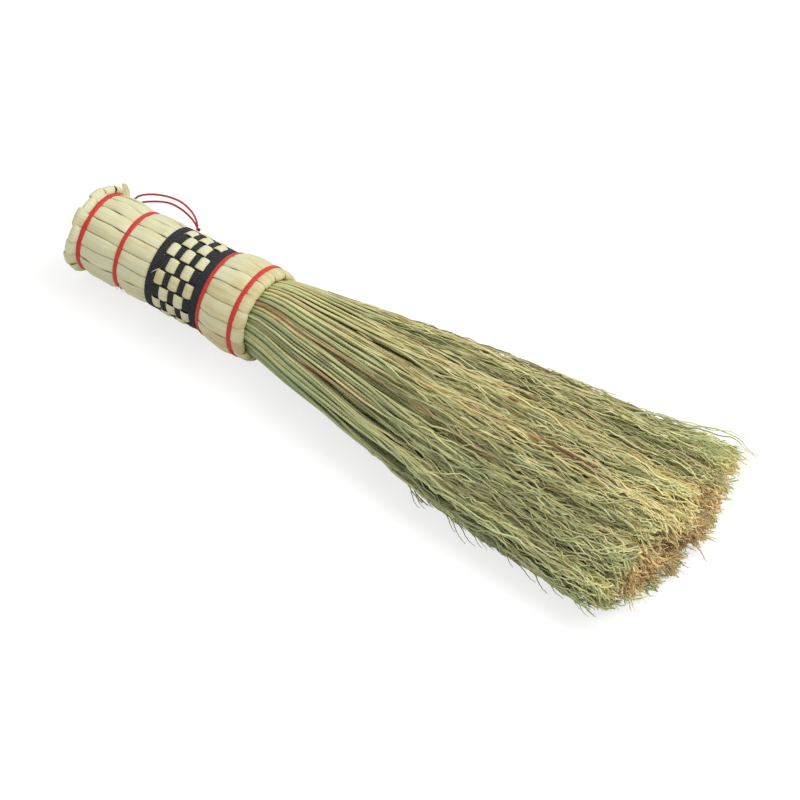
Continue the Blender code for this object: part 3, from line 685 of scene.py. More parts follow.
stalk_material = make_stalk_material()
for node in range(SECTOR_COUNT + 1):
    own = np.flatnonzero(stalk_node == node)
    outer = own[stalk_share[own] >= OUTER_SHARE]
    inner = own[stalk_share[own] < OUTER_SHARE]
    groups = [stalk_group(own)]
    if len(outer):
        groups += branchlet_groups(outer, OUTER_STATIONS, OUTER_CROWDING, OUTER_TWIGS)
    groups += branchlet_groups(inner, INNER_STATIONS, INNER_CROWDING, INNER_TWIGS)
    piece = dress("stalks_core" if node == 0 else f"stalks_{node}", groups, stalk_material)
    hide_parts("stalk_core" if node == 0 else f"stalk_bundle_{node}")


# Husks and wisps: dry husks have stayed between the branchlets, and a few loose branchlets stand off the
# far corner of the tips.

HUSK_COUNT = 14
HUSK_STATIONS = 9
HUSK_ABOVE_CHANCE = 0.75
HUSK_TURN = 0.035
HUSK_LIFTS = (0.96, 1.01)
SEEN_HUSK_LIFT = 1.03
HUSK_POINT_SHARE = 0.15
HUSK_FULLNESS = 0.7
# Ranges of the husks' places, shares of the half width, lengths, radii, warmths and tones
HUSK_RANGES = ((0.130, 0.285), (-0.9, 0.9), (0.0030, 0.0090), (0.00026, 0.00052), (0.70, 0.86), (0.15, 0.55))
# The husks that show most: the same six values
SEEN_HUSKS = ((0.2230, -0.07, 0.0070, 0.00090, 0.86, 0.75), (0.2375, -0.05, 0.0290, 0.00080, 0.91, 0.00),
              (0.2050, 0.21, 0.0050, 0.00065, 0.93, 0.55))

FRAY_COUNT = 26
FRAY_PLACES = (0.180, 0.268)
FRAY_LENGTHS = (0.008, 0.020)
FRAY_ACROSS = -0.90
FRAY_REACHES = (0.06, 0.15)
FRAY_HEIGHTS = (-0.50, 0.15)
FRAY_DROP = 0.10

WISP_COUNT = 18
WISP_STATIONS = 26
WISP_STARTS = (0.236, 0.266)
WISP_ENDS = (0.276, 0.2940)
WISP_ACROSS = (0.60, 0.92)
WISP_TURNS = (-0.05, 0.08)
WISP_LIFTS = (0.0, 0.40)
WISP_INSET = 0.08
WISP_WAVES = ((0.0005, 520), (0.0007, 420))
WISP_KINK = 0.00010
WISP_RADII = (0.00036, 0.00013)
SEEN_WISP_RADII = (0.00050, 0.00020)
WISP_TONES = (0.4, 0.9)
WISP_WARMTHS = (0.15, 0.42)
WISP_TWIGS = (3, 0.45)
# The wisps that stand off most: places and shares of the half width and half height on their way
SEEN_WISPS = (
    ((0.2400, 0.74, 0.48), (0.2545, 0.84, 0.64), (0.2736, 0.91, 0.68), (0.2900, 0.99, 0.69)),
    ((0.2460, 0.76, 0.50), (0.2680, 0.88, 0.66), (0.2840, 0.95, 0.69), (0.2985, 0.83, 0.72)),
    ((0.2500, 0.74, 0.48), (0.2700, 0.81, 0.62), (0.2860, 0.80, 0.66), (0.2975, 0.72, 0.70)),
    ((0.2480, 0.80, 0.40), (0.2660, 0.88, 0.50), (0.2820, 0.94, 0.56), (0.2930, 0.90, 0.62)),
)


def smooth_way(points, stations):
    """Smooth curve through points, at as many stations as are asked for."""
    known = np.arange(len(points), dtype=float)
    at = np.linspace(0, known[-1], stations)
    return np.stack([smooth_read(known, values, at) for values in np.array(points).T], axis=-1)


def husk_group():
    """Group for dress: husks along the skin of the bundle, thick in the middle and pointed."""
    drawn = [chance.uniform(*span, HUSK_COUNT) for span in HUSK_RANGES]
    place, across, length, thick, warmth, tone = np.concatenate((np.array(drawn).T, SEEN_HUSKS)).T
    count = len(place)
    seen = np.arange(count) >= HUSK_COUNT
    side = np.where(seen | (chance.random(count) < HUSK_ABOVE_CHANCE), 1, -1)
    t = np.linspace(0, 1, HUSK_STATIONS)
    place = place[:, None] + length[:, None] * (t - 0.5)
    turn = np.where(seen, 0, chance.uniform(-HUSK_TURN, HUSK_TURN, count))
    across = across[:, None] + turn[:, None] * (t - 0.5)
    lift = np.where(seen, SEEN_HUSK_LIFT, chance.uniform(*HUSK_LIFTS, count))
    up = side[:, None] * np.sqrt(1 - across ** 2) * lift[:, None]
    swell = np.sin(math.pi * t) ** HUSK_FULLNESS
    radii = thick[:, None] * (HUSK_POINT_SHARE + (1 - HUSK_POINT_SHARE) * swell)
    paths = clear_table(in_fan(place, across, up), radii)
    return strand_group(paths, radii, STALK_CORNERS, tone, warmth)


def fray_paths():
    """Short ends that stand off the near side of the bundle."""
    t = np.linspace(0, 1, WISP_STATIONS)
    start, length, reach, height = (chance.uniform(*span, FRAY_COUNT)[:, None] for span in (
        FRAY_PLACES, FRAY_LENGTHS, FRAY_REACHES, FRAY_HEIGHTS))
    return in_fan(start + length * t, FRAY_ACROSS - reach * ease(t), height - FRAY_DROP * t)


def wisp_groups():
    """Groups for dress: loose branchlets at the far corner of the tips, frayed ends, and their twigs."""
    t = np.linspace(0, 1, WISP_STATIONS)
    start, end, across, turn, lift = (chance.uniform(*span, WISP_COUNT)[:, None] for span in (
        WISP_STARTS, WISP_ENDS, WISP_ACROSS, WISP_TURNS, WISP_LIFTS))
    place = start + (end - start) * t
    across = across + turn * t
    out = 1 - WISP_INSET + WISP_INSET * ease(t)
    up = np.sqrt(np.maximum(0, 1 - across ** 2)) * out + lift * ease(t)
    seen = [in_fan(*smooth_way(wisp, WISP_STATIONS).T) for wisp in SEEN_WISPS]
    paths = np.concatenate((in_fan(place, across * out, up), fray_paths(), seen))
    count = len(paths)
    phase = chance.uniform(0, math.tau, (count, 2, 1))
    for axis, (height, rate) in enumerate(WISP_WAVES):
        paths[..., 1 + axis] += height * t * np.sin(paths[..., 0] * rate + phase[:, axis])
    paths[..., 1:] += chance.normal(0, WISP_KINK, (count, WISP_STATIONS, 2))
    radii = np.tile(np.interp(t, (0, 1), WISP_RADII), (count, 1))
    radii[-len(SEEN_WISPS):] = np.interp(t, (0, 1), SEEN_WISP_RADII)
    tone = chance.uniform(*WISP_TONES, count)
    warmth = chance.uniform(*WISP_WARMTHS, count)
    parent, twig_ways, twig_radii = twig_paths(paths, *WISP_TWIGS)
    return [strand_group(paths, radii, BRANCHLET_CORNERS, tone, warmth),
            strand_group(twig_ways, twig_radii, BRANCHLET_CORNERS, tone[parent], warmth[parent])]


for name, groups in (("husks", [husk_group()]), ("wisps", wisp_groups())):
    dress(name, groups, stalk_material)


# Bindings: twine holds the stalks together under the straw, a few thick rounds at the neck and a flat
# layer of thin ones nearer the butt. They are hidden, and the straw is folded in over the one at the neck.

NECK_BINDING = {"name": "neck_twine", "node": "neck_binding", "place": 0.0855, "inner": 0.0172,
                "size": 0.00145, "rounds": 2}
REAR_BINDING = {"name": "rear_twine", "node": "rear_binding", "place": 0.03345, "inner": 0.0161,
                "size": 0.00058, "rounds": 7}
BINDING_STEPS = 48
BINDING_CORNERS = 8
TWINE_COLOURS = ((0.0, (0.34, 0.27, 0.15)), (0.5, (0.60, 0.52, 0.36)), (1.0, (0.70, 0.63, 0.46)))


def round_handle(angle, height, place):
    """Point round the handle, from its angle, its height over the axis and its place."""
    return np.stack((REAR + place, -height * np.sin(angle), AXIS_HEIGHT + height * np.cos(angle)), axis=-1)


def add_lay(tree, grain, scale, distortion, detail=2.0):
    """Slanted lines of a twist or a twill, from 0 to 1."""
    inputs = {"Vector": add_stretch(tree, grain, scale), "Scale": 1.0, "Distortion": distortion,
              "Detail": detail}
    return add_node(tree, "ShaderNodeTexWave", inputs, bands_direction="DIAGONAL").outputs["Fac"]


def make_twine_material():
    """Pale twine, with its lay as fine slanted lines."""
    material, tree, shader = start_material("pale_twine", 0.85, 0.2)
    lay = add_lay(tree, read_grain(tree), (1.6, 900, 0), 1.0)
    finish_material(tree, shader, add_ramp(tree, lay, TWINE_COLOURS), lay, 0.0002)
    return material


twine_material = make_twine_material()
for binding in (NECK_BINDING, REAR_BINDING):
    size = binding["size"]
    turned = np.linspace(0, binding["rounds"], binding["rounds"] * BINDING_STEPS)
    place = binding["place"] + (turned - binding["rounds"] / 2) * size
    path = round_handle(turned * math.tau, binding["inner"] + size / 2, place)[None]
    radii = np.full(path.shape[:2], size / 2)
    group = strand_group(path, radii, BINDING_CORNERS, np.array((0.5,)), np.array((0.5,)))
    piece = dress(binding["name"], [group], twine_material)
    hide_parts(binding["node"])


# Straw sheath: seventeen flat strips of pale straw lie along the handle, side by side. Each puffs out
# between the ties, passes over and under the woven tape, and is folded in at the neck, where its tail is
# held. At the butt the strips flare and end in rounded petals.

STRIP_COUNT = 17
STRIP_PITCH = math.tau / STRIP_COUNT
FIRST_STRIP_ANGLE = math.radians(-111.7)
STRIP_THICKNESS = 0.0006
STRIP_STATIONS = 170
EDGE_ROUNDING = 14
SEAM_GAP = 0.00006
SEAM_OPEN_RATE = 95
SEAM_OPEN_TURN = 4.4
WOVEN_GAP = 0.00045
SEAM_WANDER = 0.00014
SEAM_RATES = (170, 460)
QUICK_SEAM_SHARE = 0.5
SEAM_CALM = 0.75
EDGE_TILT = 0.060
TILT_RATE = 130
WOVEN_LEVELLING = 0.6
PUFF = 0.00022
PUFF_RATES = (210, 520)
PUFF_TURN = 1.98
FULL_CROWN = 0.00045
CROWN_SHARE = 0.78
PETAL_SPREAD = 0.0020
PETAL_SLANT = 0.0007
GOLDEN_SHARE = (math.sqrt(5) - 1) / 2
# Stretches of the strips: start, end and how fast they fade in and out
CALM_STRETCH = (0.0385, 0.0690, 0.003)
WOVEN_STRETCH = (0.0395, 0.0680, 0.002)
# The folded lip at the neck is drawn back, most of all at this angle.
LIP_FROM = 0.0866
LIP_REACH = 0.0058
LIP_DRAW = 0.0017
LIP_DRAW_ANGLE = math.radians(38)

FIRST_ROUND_PLACE = 0.0424
TAPE_PITCH = 0.0038
TAPE_ROUNDS = 7
CLIMB_STRIPS = 3
LAST_ROUND_PLACE = FIRST_ROUND_PLACE + TAPE_PITCH * (TAPE_ROUNDS - 1)
OUTER_TAPE_HALF_WIDTH = 0.0018
INNER_TAPE_HALF_WIDTH = 0.0014
CELL_RISE = 0.00098
CELL_CROWN = 0.00030
CELL_NARROWING = 0.09
CELL_POWERS = (3.2, 0.75)
CELL_NARROW_POWER = 3

# Middle line of a strip: place, height, crown and share of the width. The first five places are from the
# strip's own end.
PETAL_LINE = (
    (0.0010, 0.01700, 0.00000, 0.84),
    (0.0000, 0.01770, 0.00020, 1.03),
    (-0.0003, 0.01865, 0.00040, 1.10),
    (0.0005, 0.01918, 0.00050, 1.12),
    (0.0021, 0.01845, 0.00060, 1.10),
)
STRIP_LINE = (
    (0.0039, 0.01700, 0.00042, 1.00),
    (0.0052, 0.01642, 0.00028, 1.00),
    (0.0066, 0.01680, 0.00045, 1.00),
    (0.0100, 0.01740, 0.00075, 1.00),
    (0.0149, 0.01762, 0.00085, 1.00),
    (0.0200, 0.01735, 0.00075, 1.00),
    (0.0231, 0.01680, 0.00045, 1.00),
    (0.0245, 0.01642, 0.00028, 1.00),
    (0.0259, 0.01680, 0.00045, 1.00),
    (0.0290, 0.01728, 0.00070, 1.00),
    (0.0335, 0.01748, 0.00078, 1.00),
    (0.0380, 0.01738, 0.00062, 1.00),
    (0.0405, 0.01712, 0.00030, 1.00),
    (0.0424, 0.01708, 0.00022, 1.00),
    (0.0500, 0.01708, 0.00022, 1.00),
    (0.0576, 0.01708, 0.00022, 1.00),
    (0.0652, 0.01708, 0.00022, 1.00),
    (0.0668, 0.01715, 0.00028, 1.00),
    (0.0680, 0.01745, 0.00028, 1.00),
    (0.0693, 0.01820, 0.00045, 1.00),
    (0.0716, 0.01900, 0.00045, 1.00),
    (0.0750, 0.01972, 0.00055, 1.00),
    (0.0795, 0.02015, 0.00058, 1.00),
    (0.0830, 0.01990, 0.00050, 1.00),
    (0.0845, 0.01952, 0.00038, 1.00),
    (0.0855, 0.01935, 0.00028, 1.00),
    (0.0866, 0.01952, 0.00038, 1.00),
    (0.0880, 0.01968, 0.00052, 1.02),
    (0.0897, 0.01960, 0.00058, 1.05),
    (0.0912, 0.01918, 0.00058, 1.08),
    (0.0922, 0.01850, 0.00048, 1.10),
    (0.0924, 0.01790, 0.00030, 1.10),
    (0.0919, 0.01746, 0.00010, 1.06),
    (0.0905, 0.01718, 0.00000, 1.00),
    (0.0882, 0.01695, 0.00000, 1.00),
)
OUTER_SHARES = (-1, -0.98, -0.88, -0.66, -0.44, -0.22, 0, 0.22, 0.44, 0.66, 0.88, 0.98, 1)
INNER_SHARES = (0.84, 0.45, 0, -0.45, -0.84)

STRIP_TONES = (0.25, 0.85)
STRIP_WARMTHS = (0.02, 0.16)
NECK_WARMTHS = (0.06, 0.30)
NECK_FADE = (0.070, 0.012)
LIP_WARMTHS = (0.00, 0.18)
LIP_FADE = (0.0865, 0.003)
TAN_STRIP = 8
TAN_WARMTH = 0.30
# Edges of the strips turn brown, partly the straw's own tint and partly painted shade at the seams.
EDGE_BROWN_AND_SHADE_POWER = 6
STRAW_COLOURS = (
    (0.00, (0.77, 0.77, 0.52)),
    (0.25, (0.78, 0.74, 0.45)),
    (0.50, (0.71, 0.62, 0.33)),
    (0.80, (0.60, 0.48, 0.23)),
    (1.00, (0.44, 0.31, 0.13)),
)
STRAW_EDGE_BROWN_AND_SHADE_COLOUR = (0.50, 0.41, 0.20, 1)

seam_phase = chance.uniform(0, math.tau, (STRIP_COUNT, 2))
strip_tilt = chance.uniform(-1, 1, (STRIP_COUNT, 2)) * EDGE_TILT
strip_chance = chance.uniform(-1, 1, (STRIP_COUNT, 4))


def strip_angle(index):
    """Angle of a strip's middle round the handle."""
    return FIRST_STRIP_ANGLE + index * STRIP_PITCH


def handle_axes(angle):
    """Outward and level directions at an angle round the handle."""
    outwards = np.array((0, -math.sin(angle), math.cos(angle)))
    return outwards, np.array((0, -math.cos(angle), -math.sin(angle)))


def in_stretch(place, start, end, fade):
    """1 inside a stretch and 0 outside it, with soft ends."""
    return ease((place - start) / fade) * ease((end - place) / fade)


def round_place(turn, index):
    """Place of the tape's middle where it crosses a strip: it climbs a pitch over the last few strips."""
    climbed = max(0, index - (STRIP_COUNT - 1 - CLIMB_STRIPS)) / CLIMB_STRIPS
    return FIRST_ROUND_PLACE + TAPE_PITCH * (turn + climbed)


def tape_lies_over(turn, index):
    """Whether the tape lies over a strip: always in its outer rounds, by turns in the woven ones."""
    return turn == 0 or round_place(turn, index) >= LAST_ROUND_PLACE or (turn + index) % 2 == 0


def tape_edges(turn, index):
    """Rear and front edge of the tape where it crosses a strip: it spreads to meet an outer round."""
    place = round_place(turn, index)
    if turn == 0 or place >= LAST_ROUND_PLACE:
        return place - OUTER_TAPE_HALF_WIDTH, place + OUTER_TAPE_HALF_WIDTH
    rear = place - INNER_TAPE_HALF_WIDTH
    front = place + INNER_TAPE_HALF_WIDTH
    if tape_lies_over(turn, index):
        if turn == 1:
            rear = round_place(0, index) + OUTER_TAPE_HALF_WIDTH
        if round_place(turn + 1, index) >= LAST_ROUND_PLACE:
            front = round_place(turn + 1, index) - OUTER_TAPE_HALF_WIDTH
    return rear, front


def cell_shape(index, place):
    """How far a strip rises over the tape at each place, from 0 to 1, and how near a cell's end it is."""
    rise = np.zeros_like(place)
    narrow = np.zeros_like(place)
    for turn in range(1, TAPE_ROUNDS):
        if tape_lies_over(turn, index):
            continue
        rear = tape_edges(turn - 1, index)[1]
        front = tape_edges(turn + 1, index)[0] if turn + 1 < TAPE_ROUNDS else LAST_ROUND_PLACE
        along = np.clip((place - (rear + front) / 2) / ((front - rear) / 2), -1, 1)
        rise = np.maximum(rise, (1 - np.abs(along) ** CELL_POWERS[0]) ** CELL_POWERS[1])
        narrow = np.where(np.abs(along) < 1, np.abs(along) ** CELL_NARROW_POWER, narrow)
    return rise, narrow


def seam_at(index, place):
    """Sideways wander of the seam in front of a strip."""
    phase = seam_phase[index % STRIP_COUNT]
    slow, quick = (np.sin(place * rate + turn) for rate, turn in zip(SEAM_RATES, phase))
    calm = 1 - SEAM_CALM * in_stretch(place, *CALM_STRETCH)
    return SEAM_WANDER * calm * (slow + QUICK_SEAM_SHARE * quick)


def strip_way(index):
    """Stations of a strip: the way along it, place, height, crown and share of the width."""
    start = PETAL_SPREAD * (index * GOLDEN_SHARE % 1) - PETAL_SLANT * math.sin(strip_angle(index))
    line = np.array([(start + place, *rest) for place, *rest in PETAL_LINE] + list(STRIP_LINE))
    drawn_back = LIP_DRAW * max(0, math.cos(strip_angle(index) - LIP_DRAW_ANGLE))
    line[:, 0] -= drawn_back * np.clip((line[:, 0] - LIP_FROM) / LIP_REACH, 0, 1)
    line[:, 2] *= CROWN_SHARE
    chords = np.hypot(*np.diff(line[:, :2], axis=0).T)
    known = np.concatenate(((0,), np.cumsum(chords)))
    way = np.linspace(0, known[-1], STRIP_STATIONS)
    return way, *(smooth_read(known, values, way) for values in line.T)


def strip_tint(index, place, woven, shares):
    """Tint of a strip's corners: its own tone, its warmth along the handle, and its edges, brown partly of
    their own and partly as painted shade.
    """
    tint = np.ones((len(place), len(shares), 4))
    tint[..., 0] = chance.uniform(*STRIP_TONES)
    tint[..., 1] = chance.uniform(*STRIP_WARMTHS)
    for warmths, (start, fade) in ((NECK_WARMTHS, NECK_FADE), (LIP_WARMTHS, LIP_FADE)):
        tint[..., 1] += chance.uniform(*warmths) * ease((place - start) / fade)[:, None]
    if index == TAN_STRIP:
        tint[..., 1] += TAN_WARMTH * woven[:, None]
    tint[..., 2] = np.abs(shares) ** EDGE_BROWN_AND_SHADE_POWER
    return tint


def strip_group(index):
    """Group for dress: one strip, as sections across its way."""
    way, place, height, crown, width_share = strip_way(index)
    ahead = unit(np.stack((np.gradient(place), np.gradient(height)), axis=-1))
    facing = np.stack((-ahead[:, 1], ahead[:, 0]), axis=-1)
    outer = facing[:, 1] > 0
    rise, narrow = cell_shape(index, place)
    woven = in_stretch(place, *WOVEN_STRETCH) * outer
    height = height + CELL_RISE * rise * outer
    slow_puff, puff_turn, quick_puff, open_turn = strip_chance[index]
    swell = np.clip(crown / FULL_CROWN, 0, 1) * (1 - woven) * PUFF
    height = height + swell * slow_puff * np.sin(place * PUFF_RATES[0] + puff_turn * PUFF_TURN)
    height = height + swell * quick_puff * np.sin(place * PUFF_RATES[1])
    crown = crown + CELL_CROWN * rise * outer
    open_share = np.clip(np.sin(place * SEAM_OPEN_RATE + open_turn * SEAM_OPEN_TURN), 0, 1) ** 2
    gap = SEAM_GAP * open_share + (WOVEN_GAP - SEAM_GAP * open_share) * woven
    half_width = (height - STRIP_THICKNESS / 2) * math.tan(STRIP_PITCH / 2) - gap / 2
    half_width = half_width * width_share * (1 - CELL_NARROWING * narrow * outer)
    low_side = seam_at(index, place) * width_share - half_width
    high_side = seam_at(index + 1, place) * width_share + half_width
    tilt = strip_tilt[index, 0] + strip_tilt[index, 1] * np.sin(place * TILT_RATE + index)
    shares = np.array(OUTER_SHARES + INNER_SHARES)
    sides = np.array([1] * len(OUTER_SHARES) + [-1] * len(INNER_SHARES))
    sideways = (low_side + high_side)[:, None] / 2 + (high_side - low_side)[:, None] / 2 * shares
    rounded = np.sqrt(1 - np.abs(shares) ** EDGE_ROUNDING)
    up = sides * rounded * STRIP_THICKNESS / 2 + (sides > 0) * crown[:, None] * (1 - shares ** 2)
    up = up + tilt[:, None] * sideways * (1 - WOVEN_LEVELLING * woven[:, None])
    along = place[:, None] + facing[:, :1] * up
    out = height[:, None] + facing[:, 1:] * up
    outwards, level = handle_axes(strip_angle(index))
    points = np.array((REAR, 0, AXIS_HEIGHT)) + along[..., None] * np.array((1, 0, 0))
    points = points + out[..., None] * outwards + sideways[..., None] * level
    points[..., 2] = np.maximum(points[..., 2], 0)
    grain = np.stack(np.broadcast_arrays(sideways, way[:, None], index), axis=-1)
    return points[:, None], strip_tint(index, place, woven, shares)[:, None], grain[:, None]


def make_straw_material():
    """Pale straw: fine fibres and creases along it, green and tan streaks, and edges that are brown, partly
    of their own and partly as painted shade.
    """
    material, tree, shader = start_material("pale_straw", 0.5, 0.4)
    tone, warmth, edge = read_tint(tree)
    grain = read_grain(tree)
    fibres = add_noise(tree, add_stretch(tree, grain, (5200, 70, 7)), 1.0, 4.0, 0.6)
    creases = add_noise(tree, add_stretch(tree, grain, (900, 22, 7)), 1.0, 2.0)
    patches = add_noise(tree, add_stretch(tree, grain, (260, 60, 3)), 1.0, 2.0)
    warmth = add_math(tree, "ADD", warmth, add_range(tree, patches, 0.35, 0.7, -0.10, 0.26))
    warmth = add_math(tree, "ADD", warmth, add_range(tree, creases, 0.45, 0.75, 0.0, 0.22))
    colour = add_ramp(tree, warmth, STRAW_COLOURS)
    # Edges are mixed towards brown: partly the straw's own tint, partly painted shade at the seams.
    colour = add_mix(tree, add_range(tree, edge, 0.5, 1.0, 0.0, 0.50), colour, STRAW_EDGE_BROWN_AND_SHADE_COLOUR)
    shade = add_math(tree, "MULTIPLY", add_range(tree, fibres, 0.3, 0.7, 0.92, 1.05),
                     add_range(tree, tone, 0, 1, 0.90, 1.05))
    # Painted shade: the straw is darker in the hollows of its creases.
    shade = add_math(tree, "MULTIPLY", shade, add_range(tree, creases, 0.25, 0.5, 0.88, 1.0))
    colour = shaded(tree, colour, shade)
    height = add_math(tree, "MULTIPLY", creases, 1.6)
    height = add_math(tree, "ADD", height, add_math(tree, "MULTIPLY", fibres, 0.5))
    finish_material(tree, shader, colour, height, 0.00022)
    tree.links.new(add_range(tree, fibres, 0.3, 0.7, 0.42, 0.60), shader.inputs["Roughness"])
    return material


straw_material = make_straw_material()
for index in range(STRIP_COUNT):
    piece = dress(f"sheath_strip_{index + 1:02d}", [strip_group(index)], straw_material)
    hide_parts(f"straw_strip_{index + 1:02d}")


# Woven tape: one length of flat black tape is wound seven times round the middle of the handle. The two
# outer rounds lie over every strip, and the rounds between pass over and under, so the straw shows as a
# checked band.

TAPE_THICKNESS = 0.0004
TAPE_OVER_HEIGHT = 0.01800
TAPE_UNDER_HEIGHT = 0.01702
TAPE_STEPS = 10
TAPE_CROSSING_SHARE = 0.36
TAPE_SHARP_ANGLE = math.radians(40)
TAPE_SECTION_SHARES = ((-1, 0), (-0.93, 0.8), (-0.45, 1), (0, 1.15), (0.45, 1), (0.93, 0.8), (1, 0),
                       (0.93, -0.8), (0, -1), (-0.93, -0.8))
TAPE_COLOURS = ((0.0, (0.009, 0.009, 0.011)), (0.5, (0.022, 0.022, 0.026)), (1.0, (0.170, 0.170, 0.180)))


def make_tape_material():
    """Matt black tape in a fine twill, with grey where its yarns catch the light."""
    material, tree, shader = start_material("black_twill", 0.75, 0.3)
    grain = read_grain(tree)
    twill = add_lay(tree, grain, (620, 430, 0), 1.5, 1.0)
    yarns = add_noise(tree, add_stretch(tree, grain, (3000, 1800, 1)), 1.0, 2.0)
    light = add_math(tree, "MULTIPLY", twill, add_range(tree, yarns, 0.35, 0.65, 0.2, 1.0))
    finish_material(tree, shader, add_ramp(tree, light, TAPE_COLOURS), light, 0.0003)
    return material


def ribbon_group(points, across, along):
    """Group for dress: one ribbon as ready sections, kept above the table, with an even tint."""
    points[..., 2] = np.maximum(points[..., 2], 0)
    grain = np.stack(np.broadcast_arrays(across, along[:, None], 0), axis=-1)
    return points[:, None, ::-1], np.ones((*across.shape, 4))[:, None], grain[:, None, ::-1]


def tape_group():
    """Group for dress: the whole tape as sections along its way."""
    crossings = [(turn, index) for turn in range(TAPE_ROUNDS) for index in range(STRIP_COUNT)]
    crossings = crossings[:len(crossings) - CLIMB_STRIPS - 1]
    angles = np.array([strip_angle(index) + turn * math.tau for turn, index in crossings])
    heights = np.array([TAPE_OVER_HEIGHT if tape_lies_over(turn, index) else TAPE_UNDER_HEIGHT
                        for turn, index in crossings])
    edges = np.array([tape_edges(turn, index) for turn, index in crossings])
    heights[0] = heights[-1] = TAPE_UNDER_HEIGHT
    at = np.linspace(0, len(crossings) - 1, (len(crossings) - 1) * TAPE_STEPS + 1)
    before = np.minimum(at.astype(int), len(crossings) - 2)
    share = ease((at - before - 0.5) / TAPE_CROSSING_SHARE + 0.5)
    angle = angles[0] + at * STRIP_PITCH
    height = heights[before] + (heights[before + 1] - heights[before]) * share
    rear, front = (edges[before] + (edges[before + 1] - edges[before]) * share[:, None]).T
    across, up = np.array(TAPE_SECTION_SHARES).T
    place = (rear + front)[:, None] / 2 + (front - rear)[:, None] / 2 * across
    points = round_handle(angle[:, None], height[:, None] + up * TAPE_THICKNESS / 2, place)
    return ribbon_group(points, place, angle * TAPE_OVER_HEIGHT)


piece = dress("black_tape", [tape_group()], make_tape_material(), TAPE_SHARP_ANGLE)
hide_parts("woven_tape")


# Red ties: four rounds of flat red cord are pulled tight round the straw, near the butt, on both sides of
# the woven band and at the neck. Each is closed by a small knot on the hidden side, with short ends.

TIES = (
    {"place": 0.0052, "height": 0.01735, "rise": 0},
    {"place": 0.0245, "height": 0.01735, "rise": 0},
    {"place": 0.0680, "height": 0.01840, "rise": 0.0005},
    {"place": 0.0855, "height": 0.02025, "rise": 0},
)
TIE_WIDTH = 0.0022
TIE_THICKNESS = 0.0009
TIE_STEPS = 180
TIE_CORNERS = 12
TIE_SQUARENESS = (0.75, 0.85)
TIE_SWAY = 0.00012
TIE_SWAYS_ROUND = 3
TIE_SWAY_TURN = 900
KNOT_STRIP = 16
KNOT_SIZE = (0.0016, 0.0013, 0.0011)
KNOT_LIFT = 0.0009
KNOT_CORD_RADIUS = 0.00045
KNOT_STEPS = 72
KNOT_OPENING = 0.35
KNOT_ENDS = ((-0.9, -0.4, 0.25), (0.8, -0.6, 0.25))
KNOT_END_STEPS = (0.6, 1.1, 1.6)
RED_COLOURS = ((0.35, (0.25, 0.005, 0.007)), (0.7, (0.59, 0.015, 0.012)), (1.0, (0.90, 0.095, 0.065)))


def make_red_material():
    """Red cord with a low sheen: slanted stitches, darker between them."""
    material, tree, shader = start_material("red_cord", 0.5, 0.45)
    grain = read_grain(tree)
    stitches = add_lay(tree, grain, (640, 540, 0), 0.8, 1.0)
    yarns = add_noise(tree, add_stretch(tree, grain, (1500, 1500, 1)), 1.0, 3.0)
    light = add_math(tree, "MULTIPLY", add_range(tree, stitches, 0, 1, 0.55, 1.0),
                     add_range(tree, yarns, 0.3, 0.7, 0.75, 1.1))
    finish_material(tree, shader, add_ramp(tree, light, RED_COLOURS), light, 0.00015)
    return material


def tie_group(tie):
    """Group for dress: the round of a tie, as a ring that closes on itself."""
    turn = np.linspace(0, math.tau, TIE_STEPS)
    corner = np.arange(TIE_CORNERS) / TIE_CORNERS * math.tau
    across, up = (np.sign(wave) * np.abs(wave) ** power
                  for wave, power in zip((np.sin(corner), np.cos(corner)), TIE_SQUARENESS))
    height = tie["height"] + tie["rise"] * across + up * TIE_THICKNESS / 2
    sway = TIE_SWAY * np.sin(turn * TIE_SWAYS_ROUND + tie["place"] * TIE_SWAY_TURN)[:, None]
    place = tie["place"] + sway + across * TIE_WIDTH / 2
    points = round_handle(strip_angle(KNOT_STRIP) + turn[:, None], height, place)
    return ribbon_group(points, place - tie["place"] - sway, turn * tie["height"])


def knot_group(centre, axes, size, cord_radius):
    """Group for dress: an overhand knot with two short ends, in its own axes."""
    t = np.linspace(KNOT_OPENING, math.tau - KNOT_OPENING, KNOT_STEPS)
    shape = np.stack((np.sin(t) + 2 * np.sin(2 * t), np.cos(t) - 2 * np.cos(2 * t), -1.5 * np.sin(3 * t)),
                     axis=-1) / 3
    steps = np.array(KNOT_END_STEPS)[:, None]
    first, last = np.array(KNOT_ENDS)
    local = np.concatenate((shape[0] + steps[::-1] * first, shape, shape[-1] + steps * last)) * size
    path = centre + local @ np.array(axes)
    radii = np.full((1, len(path)), cord_radius)
    return strand_group(path[None], radii, BINDING_CORNERS, np.array((0.5,)), np.array((0.5,)))


red_material = make_red_material()
outwards, level = handle_axes(strip_angle(KNOT_STRIP))
for count, tie in enumerate(TIES, 1):
    middle = round_handle(strip_angle(KNOT_STRIP), tie["height"] + KNOT_LIFT, tie["place"])
    knot = knot_group(middle, ((1, 0, 0), level, outwards), KNOT_SIZE, KNOT_CORD_RADIUS)
    piece = dress(f"red_cord_tie_{count}", [tie_group(tie), knot], red_material)
    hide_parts(f"red_tie_{count}")


# Hang loop: a thin stiff thread of the same red leaves a knot on the rear round of the tape, arches back
# along the far side of the handle and returns to the knot.

LOOP_DIAMETER = 0.0009
LOOP_ANGLE = math.radians(-51.7)
LOOP_PLACE = 0.0443
LOOP_HEIGHT = 0.0191
LOOP_POINTS = 60
LOOP_FINENESS = 16
LOOP_ROUNDNESS = 3
LOOP_KNOT_SIZE = (0.00065, 0.00065, 0.0005)
THREAD_COLOURS = ((0.3, (0.36, 0.012, 0.018)), (0.7, (0.62, 0.035, 0.04)))
